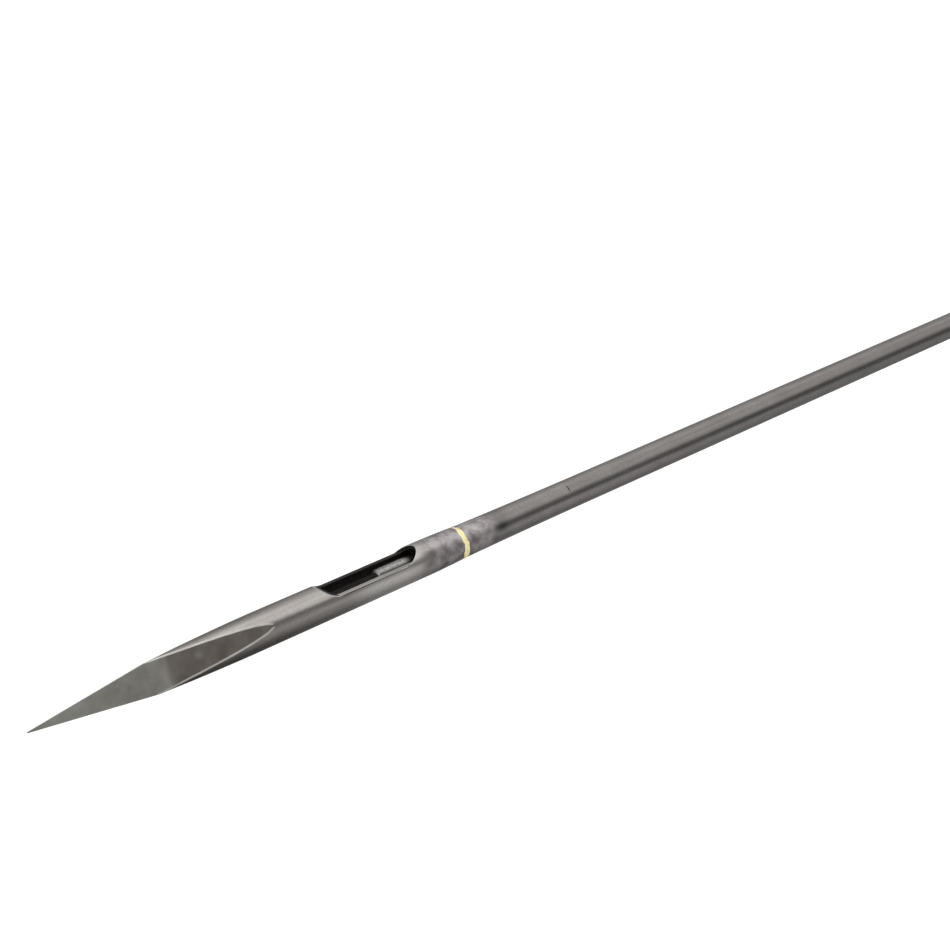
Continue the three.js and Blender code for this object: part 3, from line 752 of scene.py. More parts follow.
neck = (FERRULE_END + SHOULDER * 1.5, NECK_RADIUS)
grip = turned([
    (TENON_FRONT, 0),
    (TENON_FRONT, TENON_RADIUS, 0.3),
    (FERRULE_END, TENON_RADIUS),
    (FERRULE_END, NECK_RADIUS, SHOULDER),
    neck,
    *swell(neck, (THUMB_STATION, THUMB_RADIUS), 12),
    *swell((THUMB_STATION, THUMB_RADIUS), (BELLY_STATION, BELLY_RADIUS), 20),
    *butt_round((BELLY_STATION, BELLY_RADIUS), (BUTT_STATION, BUTT_RADIUS), 20),
    (BUTT_STATION, 0),
], WIDE_SIDES)
print("grip turned:", len(grip.verts), "vertices")

# %% [markdown]
# The grip is then milled. A flat under the belly keeps the tool from rolling. On top a land is cut level
# and runs out in the sweep of a round cutter, and in it lie the recess for the plate and the slot for
# the button. The bore for the slide goes right through, with a wider seat for the plug at the butt.

# %% Mill the grip
LAND_HEIGHT = 9.6
LAND_END = 324.0
LAND_SWEEP = 24.0
QUARTER_CIRCLE_HANDLE = 0.5523
PLATE_THICKNESS = 1.2
PLATE_FRONT = 277.4
PLATE_END = 321.6
PLATE_WIDTH = 9.2
PLATE_GAP = 0.1
SLOT_FRONT = 287.0
SLOT_END = 312.0
SLOT_WIDTH = 4.6
SLOT_GAP = 0.2
SCREW_SETBACK = 3.6
PLATE_SCREWS = (PLATE_FRONT + SCREW_SETBACK, PLATE_END - SCREW_SETBACK)
WOOD_EASE = 0.25
# More than the tool is thick, so that a cutter of this size reaches out of it
OVER = 30.0


def land_cutter():
    """Level over the land, then up and away on a quarter circle."""
    sweep = QUARTER_CIRCLE_HANDLE * LAND_SWEEP
    run_out = curve(
        (LAND_END, LAND_HEIGHT),
        (LAND_END + sweep, LAND_HEIGHT),
        (LAND_END + LAND_SWEEP, LAND_HEIGHT + LAND_SWEEP - sweep),
        (LAND_END + LAND_SWEEP, LAND_HEIGHT + LAND_SWEEP), 24,
    )
    return across_needle([
        (FERRULE_END - OVERRUN, OVER + LAND_SWEEP),
        (FERRULE_END - OVERRUN, LAND_HEIGHT),
        (LAND_END, LAND_HEIGHT),
        *run_out,
        (LAND_END + LAND_SWEEP, OVER + LAND_SWEEP),
    ], 2 * OVER)


def countersunk(top, rim, shank, head_height, length, extra=0.0):
    """Heights and radii of a countersunk screw below its flush top, or of its hole when swollen."""
    tip = top - length - extra
    return [
        (tip, 0),
        (tip + shank * 0.6, shank + extra),
        (top - head_height, shank + extra),
        (top, rim + extra),
        (top, 0),
    ]


def screw_hole(top, rim, shank, head_height, length, station):
    """A countersunk hole that runs on upwards past the surface."""
    profile = countersunk(top, rim, shank, head_height, length, FIT)
    profile[-1:] = [(top + OVERRUN, rim + FIT), (top + OVERRUN, 0)]
    return upright(profile, station)


# Top, rim radius, shank radius, height of the head and length
PLATE_SCREW = (LAND_HEIGHT, 1.8, 1.0, 0.9, 4.2)

bore = turned([
    (TENON_FRONT - OVERRUN, 0),
    (TENON_FRONT - OVERRUN, BORE_RADIUS),
    (BUTT_STATION - PLUG_HEAD_HEIGHT, BORE_RADIUS),
    (BUTT_STATION - PLUG_HEAD_HEIGHT, PLUG_HEAD_RADIUS + FIT),
    (BUTT_STATION + OVERRUN, PLUG_HEAD_RADIUS + FIT),
    (BUTT_STATION + OVERRUN, 0),
], PART_SIDES)
underside = across_needle(
    rectangle(FERRULE_FRONT, BUTT_STATION + OVERRUN, -AXIS_HEIGHT - OVER, -AXIS_HEIGHT), 2 * OVER,
)
recess = upwards(
    stadium(PLATE_FRONT - PLATE_GAP, PLATE_END + PLATE_GAP, PLATE_WIDTH + 2 * PLATE_GAP),
    LAND_HEIGHT - PLATE_THICKNESS, OVER,
)
slot = upwards(stadium(SLOT_FRONT - SLOT_GAP, SLOT_END + SLOT_GAP, SLOT_WIDTH + 2 * SLOT_GAP), 0, OVER)
screw_holes = [screw_hole(*PLATE_SCREW, station) for station in PLATE_SCREWS]
grip = combined(grip, [underside, land_cutter(), recess, slot, bore, *screw_holes, *pin_holes()])
eased(grip, WOOD_EASE, sharper_than=40, chosen=behind(FERRULE_END + FIT))
hand_over("beech_grip", grip, "handle", "needle_body", flat_above=60)

# %% [markdown]
# A brass plate is let into the land. Its slot guides the stem of the button, and two countersunk screws
# hold it. The saw cut across each screw head is a thin block taken out of the turned shape.

# %% Make the guide plate and its screws
DRIVER_WIDTH = 0.6
RIM_EASE = 0.05
PLATE_EASE = 0.12


def driver_slot(station, top, rim, depth):
    """The saw cut across a screw head."""
    half = DRIVER_WIDTH / 2
    corners = rectangle(station - half, station + half, -rim - OVERRUN, rim + OVERRUN)
    return upwards(corners, top - depth, top + OVERRUN)


def screw(top, rim, shank, head_height, length, station):
    """A countersunk screw with its saw cut and a broken rim."""
    shape = upright(countersunk(top, rim, shank, head_height, length), station, 0, SCREW_SIDES)
    shape = combined(shape, [driver_slot(station, top, rim, head_height / 2)])
    return eased(shape, RIM_EASE, chosen=lambda edge: max(v.co.z for v in edge.verts) > top - 0.02)


plate = upwards(stadium(PLATE_FRONT, PLATE_END, PLATE_WIDTH), LAND_HEIGHT - PLATE_THICKNESS, LAND_HEIGHT)
plate_slot = upwards(stadium(SLOT_FRONT, SLOT_END, SLOT_WIDTH), LAND_HEIGHT - 3, LAND_HEIGHT + OVERRUN)
plate = combined(plate, [plate_slot, *[screw_hole(*PLATE_SCREW, station) for station in PLATE_SCREWS]])
eased(plate, PLATE_EASE, sharper_than=50)
hand_over("guide_plate", plate, "slot_plate", "needle_body", flat_above=5)

for name, node, station in (
    ("front_plate_screw", "plate_screw_front", PLATE_SCREWS[0]),
    ("rear_plate_screw", "plate_screw_rear", PLATE_SCREWS[1]),
):
    hand_over(name, screw(*PLATE_SCREW, station), node, "needle_body")

# %% [markdown]
# Inside the bore a brass slide carries everything that moves. The rod sits in its front and is clamped
# by a socket set screw, the stem of the button stands on a milled flat, and a stub behind guides the
# spring. Parts of it show through the slot, so it gets its chamfers, holes and turning marks too.

# %% Make the slide and its set screw
CARRIER_FRONT = 277.5
CARRIER_END = 303.5
CARRIER_RADIUS = 4.25
CARRIER_CHAMFER = 0.5
CARRIER_FLAT = 2.9
GUIDE_STUB_RADIUS = 2.4
GUIDE_STUB_LENGTH = 4.0
STEM_STATION = 290.5
STEM_LENGTH = 6.0
STEM_WIDTH = 4.2
SET_SCREW_STATION = CARRIER_FRONT + 5
SET_SCREW_RADIUS = 1.5
SET_SCREW_TOP = 3.5
SOCKET_ACROSS = 1.5
SOCKET_DEPTH = 1.2
ROD_SEAT_GAP = 0.4
BUTTON_TOP = 12.55
# As for the plate screws: top, rim radius, shank radius, height of the head and length
BUTTON_SCREW = (BUTTON_TOP, 2.2, 1.2, 1.1, 11.5)

stub_end = CARRIER_END + GUIDE_STUB_LENGTH
carrier = turned([
    (CARRIER_FRONT, 0),
    (CARRIER_FRONT, CARRIER_RADIUS - CARRIER_CHAMFER),
    (CARRIER_FRONT + CARRIER_CHAMFER, CARRIER_RADIUS),
    (CARRIER_END - CARRIER_CHAMFER, CARRIER_RADIUS),
    (CARRIER_END, CARRIER_RADIUS - CARRIER_CHAMFER),
    (CARRIER_END, GUIDE_STUB_RADIUS),
    (stub_end - CARRIER_CHAMFER, GUIDE_STUB_RADIUS),
    (stub_end, GUIDE_STUB_RADIUS - CARRIER_CHAMFER),
    (stub_end, 0),
], 72)
rod_seat = turned(bar(CARRIER_FRONT - OVERRUN, ROD_END + ROD_SEAT_GAP, ROD_RADIUS + FIT), SCREW_SIDES)
stem_half = STEM_LENGTH / 2 + FIT
stem_flat = across_needle(
    rectangle(STEM_STATION - stem_half, STEM_STATION + stem_half, CARRIER_FLAT, OVER), 4 * CARRIER_RADIUS,
)
carrier = combined(carrier, [
    rod_seat,
    stem_flat,
    upright(bar(0, 2 * CARRIER_RADIUS, SET_SCREW_RADIUS + FIT), SET_SCREW_STATION),
    screw_hole(*BUTTON_SCREW, STEM_STATION),
])
eased(carrier, 0.06, sharper_than=40)
hand_over("brass_slide", carrier, "slide_carrier", "latch_body")

set_screw = upright([
    (ROD_RADIUS + FIT, 0),
    (ROD_RADIUS + FIT, SET_SCREW_RADIUS, 0.2),
    (SET_SCREW_TOP, SET_SCREW_RADIUS, 0.15),
    (SET_SCREW_TOP, 0),
], SET_SCREW_STATION, 0, SCREW_SIDES)
hex_corner = SOCKET_ACROSS / 2 / math.cos(math.pi / 6)
socket_bar = bar(SET_SCREW_TOP - SOCKET_DEPTH, SET_SCREW_TOP + 1, hex_corner)
set_screw = combined(set_screw, [upright(socket_bar, SET_SCREW_STATION, 0, 6)])
hand_over("socket_set_screw", set_screw, "rod_set_screw", "latch_body")

# %% [markdown]
# The thumb button is milled from steel. Seen from the side it has a lip in front for the thumb to pull
# on, and two teeth behind the screw with their steep sides towards the tip. Seen from above it is a
# rounded rectangle. The pad is the common part of those two outlines, and a flat stem goes down to the
# slide.

# %% Mill the thumb button
PAD_LENGTH = 14.0
PAD_WIDTH = 8.4
PAD_HEIGHT = 2.6
PAD_BASE = BUTTON_TOP - PAD_HEIGHT
PAD_CORNER = 2.0
LIP_HEIGHT = 1.5
LIP_LENGTH = 1.2
TOOTH_PITCH = 1.1
TOOTH_HEIGHT = 0.4
TOOTH_SLOPE = 0.75
SCREW_LAND = 2.6


def teeth(start, stop):
    """Side outline of a row of teeth from one station forward to another."""
    row = [(start, BUTTON_TOP)]
    for index in range(int((start - stop) / TOOTH_PITCH)):
        root = start - index * TOOTH_PITCH
        row.append((root - TOOTH_PITCH * TOOTH_SLOPE, BUTTON_TOP + TOOTH_HEIGHT, 0.06))
        row.append((root - TOOTH_PITCH, BUTTON_TOP))
    return row


pad_front = STEM_STATION - PAD_LENGTH / 2
pad_end = STEM_STATION + PAD_LENGTH / 2
pad_edge = PAD_HEIGHT / 2
lip_end = pad_front + pad_edge + LIP_LENGTH
lip_foot = lip_end + LIP_HEIGHT
lip_curve = curve(
    (lip_foot, BUTTON_TOP), (lip_foot - 1, BUTTON_TOP),
    (lip_end, BUTTON_TOP + 0.5), (lip_end, BUTTON_TOP + LIP_HEIGHT - 0.1), 8,
)
pad_side = across_needle([
    (pad_front, PAD_BASE, 0.25),
    (pad_end, PAD_BASE, 0.25),
    (pad_end, PAD_BASE + pad_edge, 0.4),
    *teeth(pad_end - pad_edge, STEM_STATION + SCREW_LAND),
    *teeth(STEM_STATION - SCREW_LAND, lip_foot),
    (lip_foot, BUTTON_TOP),
    *lip_curve,
    (lip_end - 0.1, BUTTON_TOP + LIP_HEIGHT),
    (pad_front + pad_edge, BUTTON_TOP + LIP_HEIGHT, 0.3),
    (pad_front, BUTTON_TOP, 0.5),
], 2 * PAD_WIDTH)
pad_plan = upwards(
    rectangle(pad_front, pad_end, -PAD_WIDTH / 2, PAD_WIDTH / 2, PAD_CORNER),
    PAD_BASE - OVERRUN, BUTTON_TOP + LIP_HEIGHT + OVERRUN,
)
pad = combined(pad_side, [pad_plan], "INTERSECT")
eased(pad, 0.15, sharper_than=60)
stem_corners = stadium(STEM_STATION - STEM_LENGTH / 2, STEM_STATION + STEM_LENGTH / 2, STEM_WIDTH)
stem = upwards(stem_corners, CARRIER_FLAT, PAD_BASE + pad_edge)
button = combined(pad, [stem], "UNION")
button = combined(button, [screw_hole(*BUTTON_SCREW, STEM_STATION)])
hand_over("milled_button", button, "thumb_button", "latch_body", flat_above=4)
hand_over("top_screw", screw(*BUTTON_SCREW, STEM_STATION), "button_screw", "latch_body")

# %% [markdown]
# The spring pushes the slide forward and closes the latch. A coil is a spin that also moves along its
# axis: the section of the wire is spun round and drawn along at the same time. The end curls lie closer
# than the working ones, so the spring is spun in three stretches of different pitch.

# %% Wind the spring
SPRING_FRONT = 303.8
SPRING_LENGTH = 38.0
SPRING_RADIUS = 3.9
WIRE_RADIUS = 0.4
END_PITCH = 1.3
END_CURLS = 1.5
WORKING_CURLS = 9
STEPS_PER_CURL = 32
WIRE_SIDES = 12

working_length = SPRING_LENGTH - 2 * WIRE_RADIUS - 2 * END_CURLS * END_PITCH
spring = bmesh.new()
bmesh.ops.create_circle(spring, cap_ends=True, radius=WIRE_RADIUS, segments=WIRE_SIDES)
bmesh.ops.translate(
    spring, verts=spring.verts[:], vec=(SPRING_FRONT + WIRE_RADIUS, SPRING_RADIUS - WIRE_RADIUS, 0),
)
section = spring.faces[:]
for curls, length in (
    (END_CURLS, END_CURLS * END_PITCH),
    (WORKING_CURLS, working_length),
    (END_CURLS, END_CURLS * END_PITCH),
):
    steps = round(curls * STEPS_PER_CURL)
    wound = bmesh.ops.spin(
        spring, geom=section, cent=(0, 0, 0), axis=(1, 0, 0),
        dvec=(length / steps, 0, 0), angle=curls * 2 * math.pi, steps=steps,
    )
    section = only(bmesh.types.BMFace, wound["geom_last"])
bmesh.ops.recalc_face_normals(spring, faces=spring.faces[:])
coil = hand_over("wound_spring", spring, "return_spring", "needle_body")

# %% [markdown]
# The seat of the spring is a brass plug pressed into the butt. Its crowned head has a wide saw cut, so
# the plug can be drawn for cleaning. It is the one piece that faces someone who looks at the tool's end.

# %% Turn the plug
PLUG_FRONT = 342.1
PLUG_GUIDE_LENGTH = 8.0
PLUG_CROWN = 0.8
PLUG_SLOT_WIDTH = 1.4
PLUG_SLOT_DEPTH = 1.5
PLUG_EASE = 0.1

crown = curve(
    (BUTT_STATION, PLUG_HEAD_RADIUS),
    (BUTT_STATION + PLUG_CROWN * 0.67, PLUG_HEAD_RADIUS * 0.8),
    (BUTT_STATION + PLUG_CROWN, PLUG_HEAD_RADIUS * 0.47),
    (BUTT_STATION + PLUG_CROWN, 0), 14,
)
guide_front = PLUG_FRONT - PLUG_GUIDE_LENGTH
plug = turned([
    (guide_front, 0),
    (guide_front, GUIDE_STUB_RADIUS - CARRIER_CHAMFER),
    (guide_front + CARRIER_CHAMFER, GUIDE_STUB_RADIUS),
    (PLUG_FRONT, GUIDE_STUB_RADIUS),
    (PLUG_FRONT, BORE_RADIUS - FIT, 0.2),
    (BUTT_STATION - PLUG_HEAD_HEIGHT, BORE_RADIUS - FIT),
    (BUTT_STATION - PLUG_HEAD_HEIGHT, PLUG_HEAD_RADIUS, 0.1),
    (BUTT_STATION, PLUG_HEAD_RADIUS),
    *crown,
], PART_SIDES)
slot_floor = BUTT_STATION + PLUG_CROWN - PLUG_SLOT_DEPTH
saw = upwards(
    rectangle(slot_floor, slot_floor + 2 * PLUG_SLOT_DEPTH, -PLUG_SLOT_WIDTH / 2, PLUG_SLOT_WIDTH / 2),
    -PLUG_HEAD_RADIUS - OVERRUN, PLUG_HEAD_RADIUS + OVERRUN,
)
plug = combined(plug, [saw])
eased(plug, PLUG_EASE, sharper_than=50, chosen=behind(BUTT_STATION - 1))
hand_over("butt_plug", plug, "end_plug", "needle_body")

# %% [markdown]
# Every finish is a small node tree that reads Object coordinates, so a pattern has its real size in
# millimetres and stays put when the piece moves. One function adds a node: it takes the settings, the
# input values and the links, and gives back the node's first output. A few short functions on top of it
# name the kinds of node that come back in every finish. Colours are written as they look on a screen and
# turned to linear light by one function.

# %% Helpers for the finishes
WHITE = (1, 1, 1, 1)


def linear(colour):
    """A screen colour such as c0ffee as linear light with full alpha. A link passes through unchanged."""
    if not isinstance(colour, str):
        return colour
    channels = [int(colour[place:place + 2], 16) / 255 for place in (0, 2, 4)]
    return (*[c / 12.92 if c <= 0.04045 else ((c + 0.055) / 1.055) ** 2.4 for c in channels], 1)


def per_mm(size):
    """Pattern scale at which one blob is about size millimetres long."""
    return 1 / (size * MILLIMETRE)


def add(tree, kind, inputs=None, stops=(), **settings):
    """Add a node with its settings, values and links, and return its first output."""
    made = tree.nodes.new("ShaderNode" + kind)
    for key, value in settings.items():
        setattr(made, key, value)
    for key, value in (inputs or {}).items():
        if isinstance(key, int):
            socket = made.inputs[key]
        else:
            socket = next(s for s in made.inputs if s.enabled and s.name == key)
        if isinstance(value, bpy.types.NodeSocket):
            tree.links.new(value, socket)
        else:
            socket.default_value = value
    for number, (place, colour) in enumerate(stops):
        elements = made.color_ramp.elements
        stop = elements[number] if number < 2 else elements.new(place)
        stop.position = place
        stop.color = colour
    return next((s for s in made.outputs if s.enabled), None)


def maths(tree, operation, *values):
    """One operation on links and numbers."""
    return add(tree, "Math", dict(enumerate(values)), operation=operation)


def ramp(tree, value, first, last, low=0.0, high=1.0, soft=False):
    """Low at the first value and high at the last one, level outside them, and soft at both if asked."""
    return add(
        tree, "MapRange",
        {"Value": value, "From Min": first, "From Max": last, "To Min": low, "To Max": high},
        interpolation_type="SMOOTHSTEP" if soft else "LINEAR",
    )


def spread(tree, value, low, high):
    """A pattern between zero and one, spread from low to high."""
    return ramp(tree, value, 0.0, 1.0, low, high)


def bump_at(tree, station, first, full, fade, last):
    """One between two stations, with a soft rise before and a soft fall behind."""
    rise = ramp(tree, station, first, full, soft=True)
    fall = ramp(tree, station, last, fade, soft=True)
    return maths(tree, "MINIMUM", rise, fall)


def average(tree, share, first, second):
    """The first of two values where share is zero, and the second where it is one."""
    return add(tree, "Mix", {"Factor": share, "A": first, "B": second}, data_type="FLOAT")


def blend(tree, share, first, second, **settings):
    """The first of two colours where share is zero, and the second where it is one."""
    inputs = {"Factor": share, "A": linear(first), "B": linear(second)}
    return add(tree, "Mix", inputs, data_type="RGBA", **settings)


def tints(tree, value, *stops):
    """A colour that the value picks from stops of a place and a screen colour."""
    stops = [(place, linear(colour)) for place, colour in stops]
    return add(tree, "ValToRGB", {"Fac": value}, stops=stops)


def stretched(tree, place, sizes):
    """Coordinates in which a pattern is drawn out to the three sizes in millimetres."""
    return add(tree, "Mapping", {"Vector": place, "Scale": tuple(per_mm(size) for size in sizes)})


def noise(tree, place, size, detail=3.0, roughness=0.6):
    """Noise in blobs of one size in millimetres, or drawn out to three sizes along x, y and z."""
    scale = 1.0
    if isinstance(size, tuple):
        place = stretched(tree, place, size)
    else:
        scale = per_mm(size)
    inputs = {"Vector": place, "Scale": scale, "Detail": detail, "Roughness": roughness}
    return add(tree, "TexNoise", inputs)


def streaks(tree, place, length, width, detail=3.0, roughness=0.6):
    """Noise drawn out along the needle into streaks of the given size in millimetres."""
    return noise(tree, place, (length, width, width), detail, roughness)


def new_finish(name):
    """An empty material and its tree, the object's coordinates as a whole and apart, and the station."""
    finish = bpy.data.materials.new(name)
    finish.use_nodes = True
    tree = finish.node_tree
    tree.nodes.clear()
    place = add(tree, "TexCoord").node.outputs["Object"]
    split = add(tree, "SeparateXYZ", {"Vector": place}).node.outputs
    station = maths(tree, "MULTIPLY_ADD", split["X"], 1 / MILLIMETRE, BELLY_STATION)
    return finish, tree, place, split, station


def skin(tree, colour, roughness, height, strength, depth, **more):
    """End the tree with a surface. Its bumps follow height, with a depth in millimetres."""
    bump = add(
        tree, "Bump", {"Height": height, "Strength": strength, "Distance": depth * MILLIMETRE},
    )
    inputs = {"Base Color": colour, "Roughness": roughness, "Normal": bump}
    inputs.update((key.replace("_", " "), value) for key, value in more.items())
    add(tree, "OutputMaterial", {"Surface": add(tree, "BsdfPrincipled", inputs)})


def metal(tree, colour, roughness, height, strength, depth=0.01, bareness=1.0):
    """End the tree as a metal surface, bare or under a thin dull film."""
    skin(tree, colour, roughness, height, strength, depth, Metallic=bareness)


print("helpers for finishes ready")

# %% [markdown]
# The head is carbon steel, ground along its length and hardly polished. Fine lines run along the needle,
# the tone drifts a little, and the heat of brazing has left a purple brown bloom near the ring. The ring
# itself is pale brazing metal that flowed unevenly, so its colour has wavy edges that cross the joint.

# %% Ground steel of the head, with the bloom and the braze at the joint
BRAZE_COLOUR = "f0e6b4"
BRAZE_FRONT = HEAD_END - 0.37
BRAZE_WANDER = 0.8
BRAZE_BARENESS = 0.4
# Where the steel is brightened by hands, bloomed by heat and darkened: rise, full, fade and end. Further
# back it only grows duller.
HANDLED_STRETCH = (43.5, 50.0, 54.0, 60.0)
HEATED_STRETCH = (56.5, 61.5, 70.2, 72.4)
DARKENED_STRETCH = (69.6, 71.6, 72.8, 75.4)
DARKENING_STRENGTH = 0.22
DULL_STRETCH = (85.0, 185.0)
DULL_STRENGTH = 0.34
HEAT_ROUGHENING = 0.22


def braze_share(tree, place, split, station):
    """How much of the surface is braze: a seam that is narrow on top and wide on both sides."""
    near = ramp(tree, split["Y"], 0.0008, -0.0016, 0.14, 0.45, soft=True)
    far = ramp(tree, split["Y"], 0.0009, 0.0020, 0.0, 0.4, soft=True)
    low = ramp(tree, split["Z"], 0.0084, 0.0070, 0.0, 0.25)
    off = maths(tree, "SUBTRACT", station, BRAZE_FRONT)
    off = maths(tree, "SUBTRACT", off, maths(tree, "MAXIMUM", low, far))
    shifted = maths(tree, "MULTIPLY_ADD", noise(tree, place, 0.9), -BRAZE_WANDER, off)
    distance = maths(tree, "ABSOLUTE", shifted)
    inside = maths(tree, "SUBTRACT", maths(tree, "MAXIMUM", near, far), distance)
    return ramp(tree, inside, -0.04, 0.05)


def spot(tree, place, centre, size):
    """One at the centre of a mark, zero beyond its edge. Both are in millimetres from tip and axis."""
    middle = to_part @ Vector(centre)
    scale = tuple(per_mm(half) for half in size)
    shift = tuple(-value * factor for value, factor in zip(middle, scale))
    moved = add(tree, "Mapping", {"Vector": place, "Location": shift, "Scale": scale})
    return ramp(tree, add(tree, "VectorMath", {0: moved}, operation="LENGTH"), 1.0, 0.0, soft=True)


def marked(tree, place, colour, marks):
    """The colour with small marks of use over it, each given as centre, half sizes, tint and strength."""
    for centre, size, tint, strength in marks:
        share = maths(tree, "MULTIPLY", spot(tree, place, centre, size), strength)
        colour = blend(tree, share, colour, tint)
    return colour


# Two stains behind the notch, a darker patch on the near side where the bloom ends, and a nick across the
# tube
STEEL_MARKS = (
    ((59.3, -1.85, 1.5), (2.4, 0.8, 0.8), "3f3b3d", 0.55),
    ((58.6, -2.37, 0.3), (1.8, 0.9, 0.9), "4a4546", 0.45),
    ((72.4, -2.0, 0.9), (1.6, 1.2, 1.2), "3a3839", 0.5),
    ((86.2, -1.23, 1.7), (0.2, 0.8, 0.8), "0a0808", 1.0),
)


def heat_bloom(tree, place):
    """Purple brown patches that the heat of brazing left."""
    moved = add(tree, "Mapping", {"Vector": place, "Location": (0.0014, 0, 0)})
    return tints(tree, noise(tree, moved, 1.7), (0.36, "a09699"), (0.60, "d0cbcb"))


def joint_steel(name, light, dark, shine):
    """Steel beside the brazed joint: streaked, bloomed by heat, with the braze flowed over it."""
    finish, tree, place, split, station = new_finish(name)
    lines = streaks(tree, place, 2.0, 0.12, 2.0)
    drift = noise(tree, place, 3.0, 3.0, 0.5)
    speckle = noise(tree, place, 0.25, 2.0, 0.5)
    tone = average(tree, 0.4, streaks(tree, place, 14.0, 0.5), drift)
    colour = tints(tree, average(tree, 0.3, tone, speckle), (0.36, dark), (0.64, light))
    duller = ramp(tree, station, *DULL_STRETCH, 0.0, DULL_STRENGTH)
    colour = blend(tree, duller, colour, "6c6967")
    colour = blend(tree, bump_at(tree, station, *HANDLED_STRETCH), colour, "ece8e4")
    heat = bump_at(tree, station, *HEATED_STRETCH)
    colour = blend(tree, heat, colour, heat_bloom(tree, place))
    # A darker grey ring round the tube where the bloom ends
    darkening = maths(tree, "MULTIPLY", bump_at(tree, station, *DARKENED_STRETCH), DARKENING_STRENGTH)
    colour = blend(tree, darkening, colour, "4a4748")
    colour = marked(tree, place, colour, STEEL_MARKS)
    braze = braze_share(tree, place, split, station)
    colour = blend(tree, braze, colour, BRAZE_COLOUR)
    satin = spread(tree, heat, shine, shine + HEAT_ROUGHENING)
    rough = maths(tree, "MULTIPLY_ADD", lines, 0.08, satin)
    metal(tree, colour, rough, lines, 0.35, bareness=spread(tree, braze, 1.0, BRAZE_BARENESS))
    return finish


head_steel = joint_steel("ground_carbon_steel", "cfcac6", "b4afab", 0.24)
tube_steel = joint_steel("drawn_steel_tube", "a5a19f", "8b8785", 0.2)
print("steel finishes:", head_steel.name, tube_steel.name)

# %% [markdown]
# The braze is a pale brass. Its middle is bare, and its edges pass into the steel with the same uneven
# line that the steel on both sides draws, so the joint reads as one flowed seam. The fillet at the bush
# is braze all over.

# %% Pale brazing brass
def braze_finish():
    """Soft pale brass, slightly mottled, with steel showing past its flowed edge."""
    finish, tree, place, split, station = new_finish("pale_brazing_brass")
    mottle = noise(tree, place, 0.5, 3.0, 0.5)
    brass = tints(tree, mottle, (0.35, "e6d99f"), (0.65, "f4ebbb"))
    near_bush = maths(tree, "GREATER_THAN", station, BLADE_END - 10)
    shown = maths(tree, "MAXIMUM", braze_share(tree, place, split, station), near_bush)
    colour = blend(tree, shown, heat_bloom(tree, place), brass)
    rough = spread(tree, mottle, 0.4, 0.52)
    metal(tree, colour, rough, mottle, 0.4, 0.02, spread(tree, shown, 1.0, BRAZE_BARENESS))
    return finish


pale_braze = braze_finish()
print("finish:", pale_braze.name)

# %% [markdown]
# The three ground faces are matter than the barrel. The wheel left fine lines across them, the front
# stroke is a light grey, and the rear stroke is a darker, browner grey with a soft border between them.

# %% Stoned faces, and the scale and painted shade of the bore and the notch
STROKE_BORDER = (18.7, 19.9)
DULL_LIP = (36.0, 42.0, 53.0, 56.0)
DULL_LIP_STRENGTH = 0.7
# A light rub and two darker blots on the rear stroke of the near face
FACE_MARKS = (
    ((22.4, -1.37, 1.2), (0.9, 0.8, 0.8), "d8d4ce", 0.3),
    ((19.4, -2.0, -0.34), (1.3, 1.0, 1.0), "6f6861", 0.45),
    ((22.1, -1.86, 0.32), (1.2, 0.9, 0.9), "6f6861", 0.35),
)


def ground_face_finish():
    """Cross-ground steel in two tones."""
    finish, tree, place, split, station = new_finish("cross_ground_steel")
    lines = noise(tree, place, (0.22, 4.0, 4.0))
    blots = noise(tree, place, 2.2, 4.0, 0.5)
    wander = maths(tree, "MULTIPLY_ADD", blots, 2.0, station)
    tone = blend(tree, ramp(tree, wander, *STROKE_BORDER, soft=True), "bfbfb9", "9b958e")
    mottled = tints(tree, blots, (0.3, "d8d4d0"), (0.7, "ffffff"))
    colour = blend(tree, 1.0, tone, mottled, blend_type="MULTIPLY")
    colour = marked(tree, place, colour, FACE_MARKS)
    metal(tree, colour, spread(tree, lines, 0.42, 0.56), lines, 0.5)
    return finish


def scale_and_shade_finish():
    """Black scale that brazing leaves inside a bore, also used as painted shade there and in the notch:
    dull and hardly reflecting.
    """
    finish, tree, place, *_ = new_finish("black_scale_and_painted_shade")
    crust = noise(tree, place, 0.6, 4.0, 0.5)
    skin(tree, tints(tree, crust, (0.3, "0c0b0b"), (0.7, "231f1d")), 0.7, crust, 0.5, 0.03)
    return finish


def worn_finish():
    """Steel polished bright by use, with faint scratches along the edge, duller at the notch."""
    finish, tree, place, split, station = new_finish("edge_polished_by_use")
    scratches = streaks(tree, place, 3.0, 0.15)
    colour = tints(tree, scratches, (0.35, "bdbab6"), (0.65, "dbd8d4"))
    duller = maths(tree, "MULTIPLY", bump_at(tree, station, *DULL_LIP), DULL_LIP_STRENGTH)
    colour = blend(tree, duller, colour, "a9a6a3")
    metal(tree, colour, spread(tree, scratches, 0.3, 0.44), scratches, 0.3, bareness=0.75)
    return finish


face_steel = ground_face_finish()
scale_and_painted_shade = scale_and_shade_finish()
worn_steel = worn_finish()
print("finishes:", face_steel.name, scale_and_painted_shade.name, worn_steel.name)

# %% [markdown]
# The other metals differ in colour, in how fine their marks are and in which way the marks run: round
# the axis where a piece was turned, along it where it was drawn or rubbed. One recipe takes these as
# values. Marks finer than a hair would vanish in the picture, so they are drawn about twice as coarse.

# %% The other metals
def worked_metal(name, light, dark, shine, mark_size, blob=2.0):
    """Bare metal with marks of the given sizes in millimetres along x, y and z."""
    finish, tree, place, *_ = new_finish(name)
    marks = noise(tree, place, mark_size)
    drift = noise(tree, place, blob, 4.0, 0.5)
    colour = tints(tree, average(tree, 0.5, marks, drift), (0.35, dark), (0.65, light))
    worn = spread(tree, drift, shine - 0.05, shine + 0.1)
    metal(tree, colour, maths(tree, "MULTIPLY_ADD", marks, 0.1, worn), marks, 0.4)
    return finish


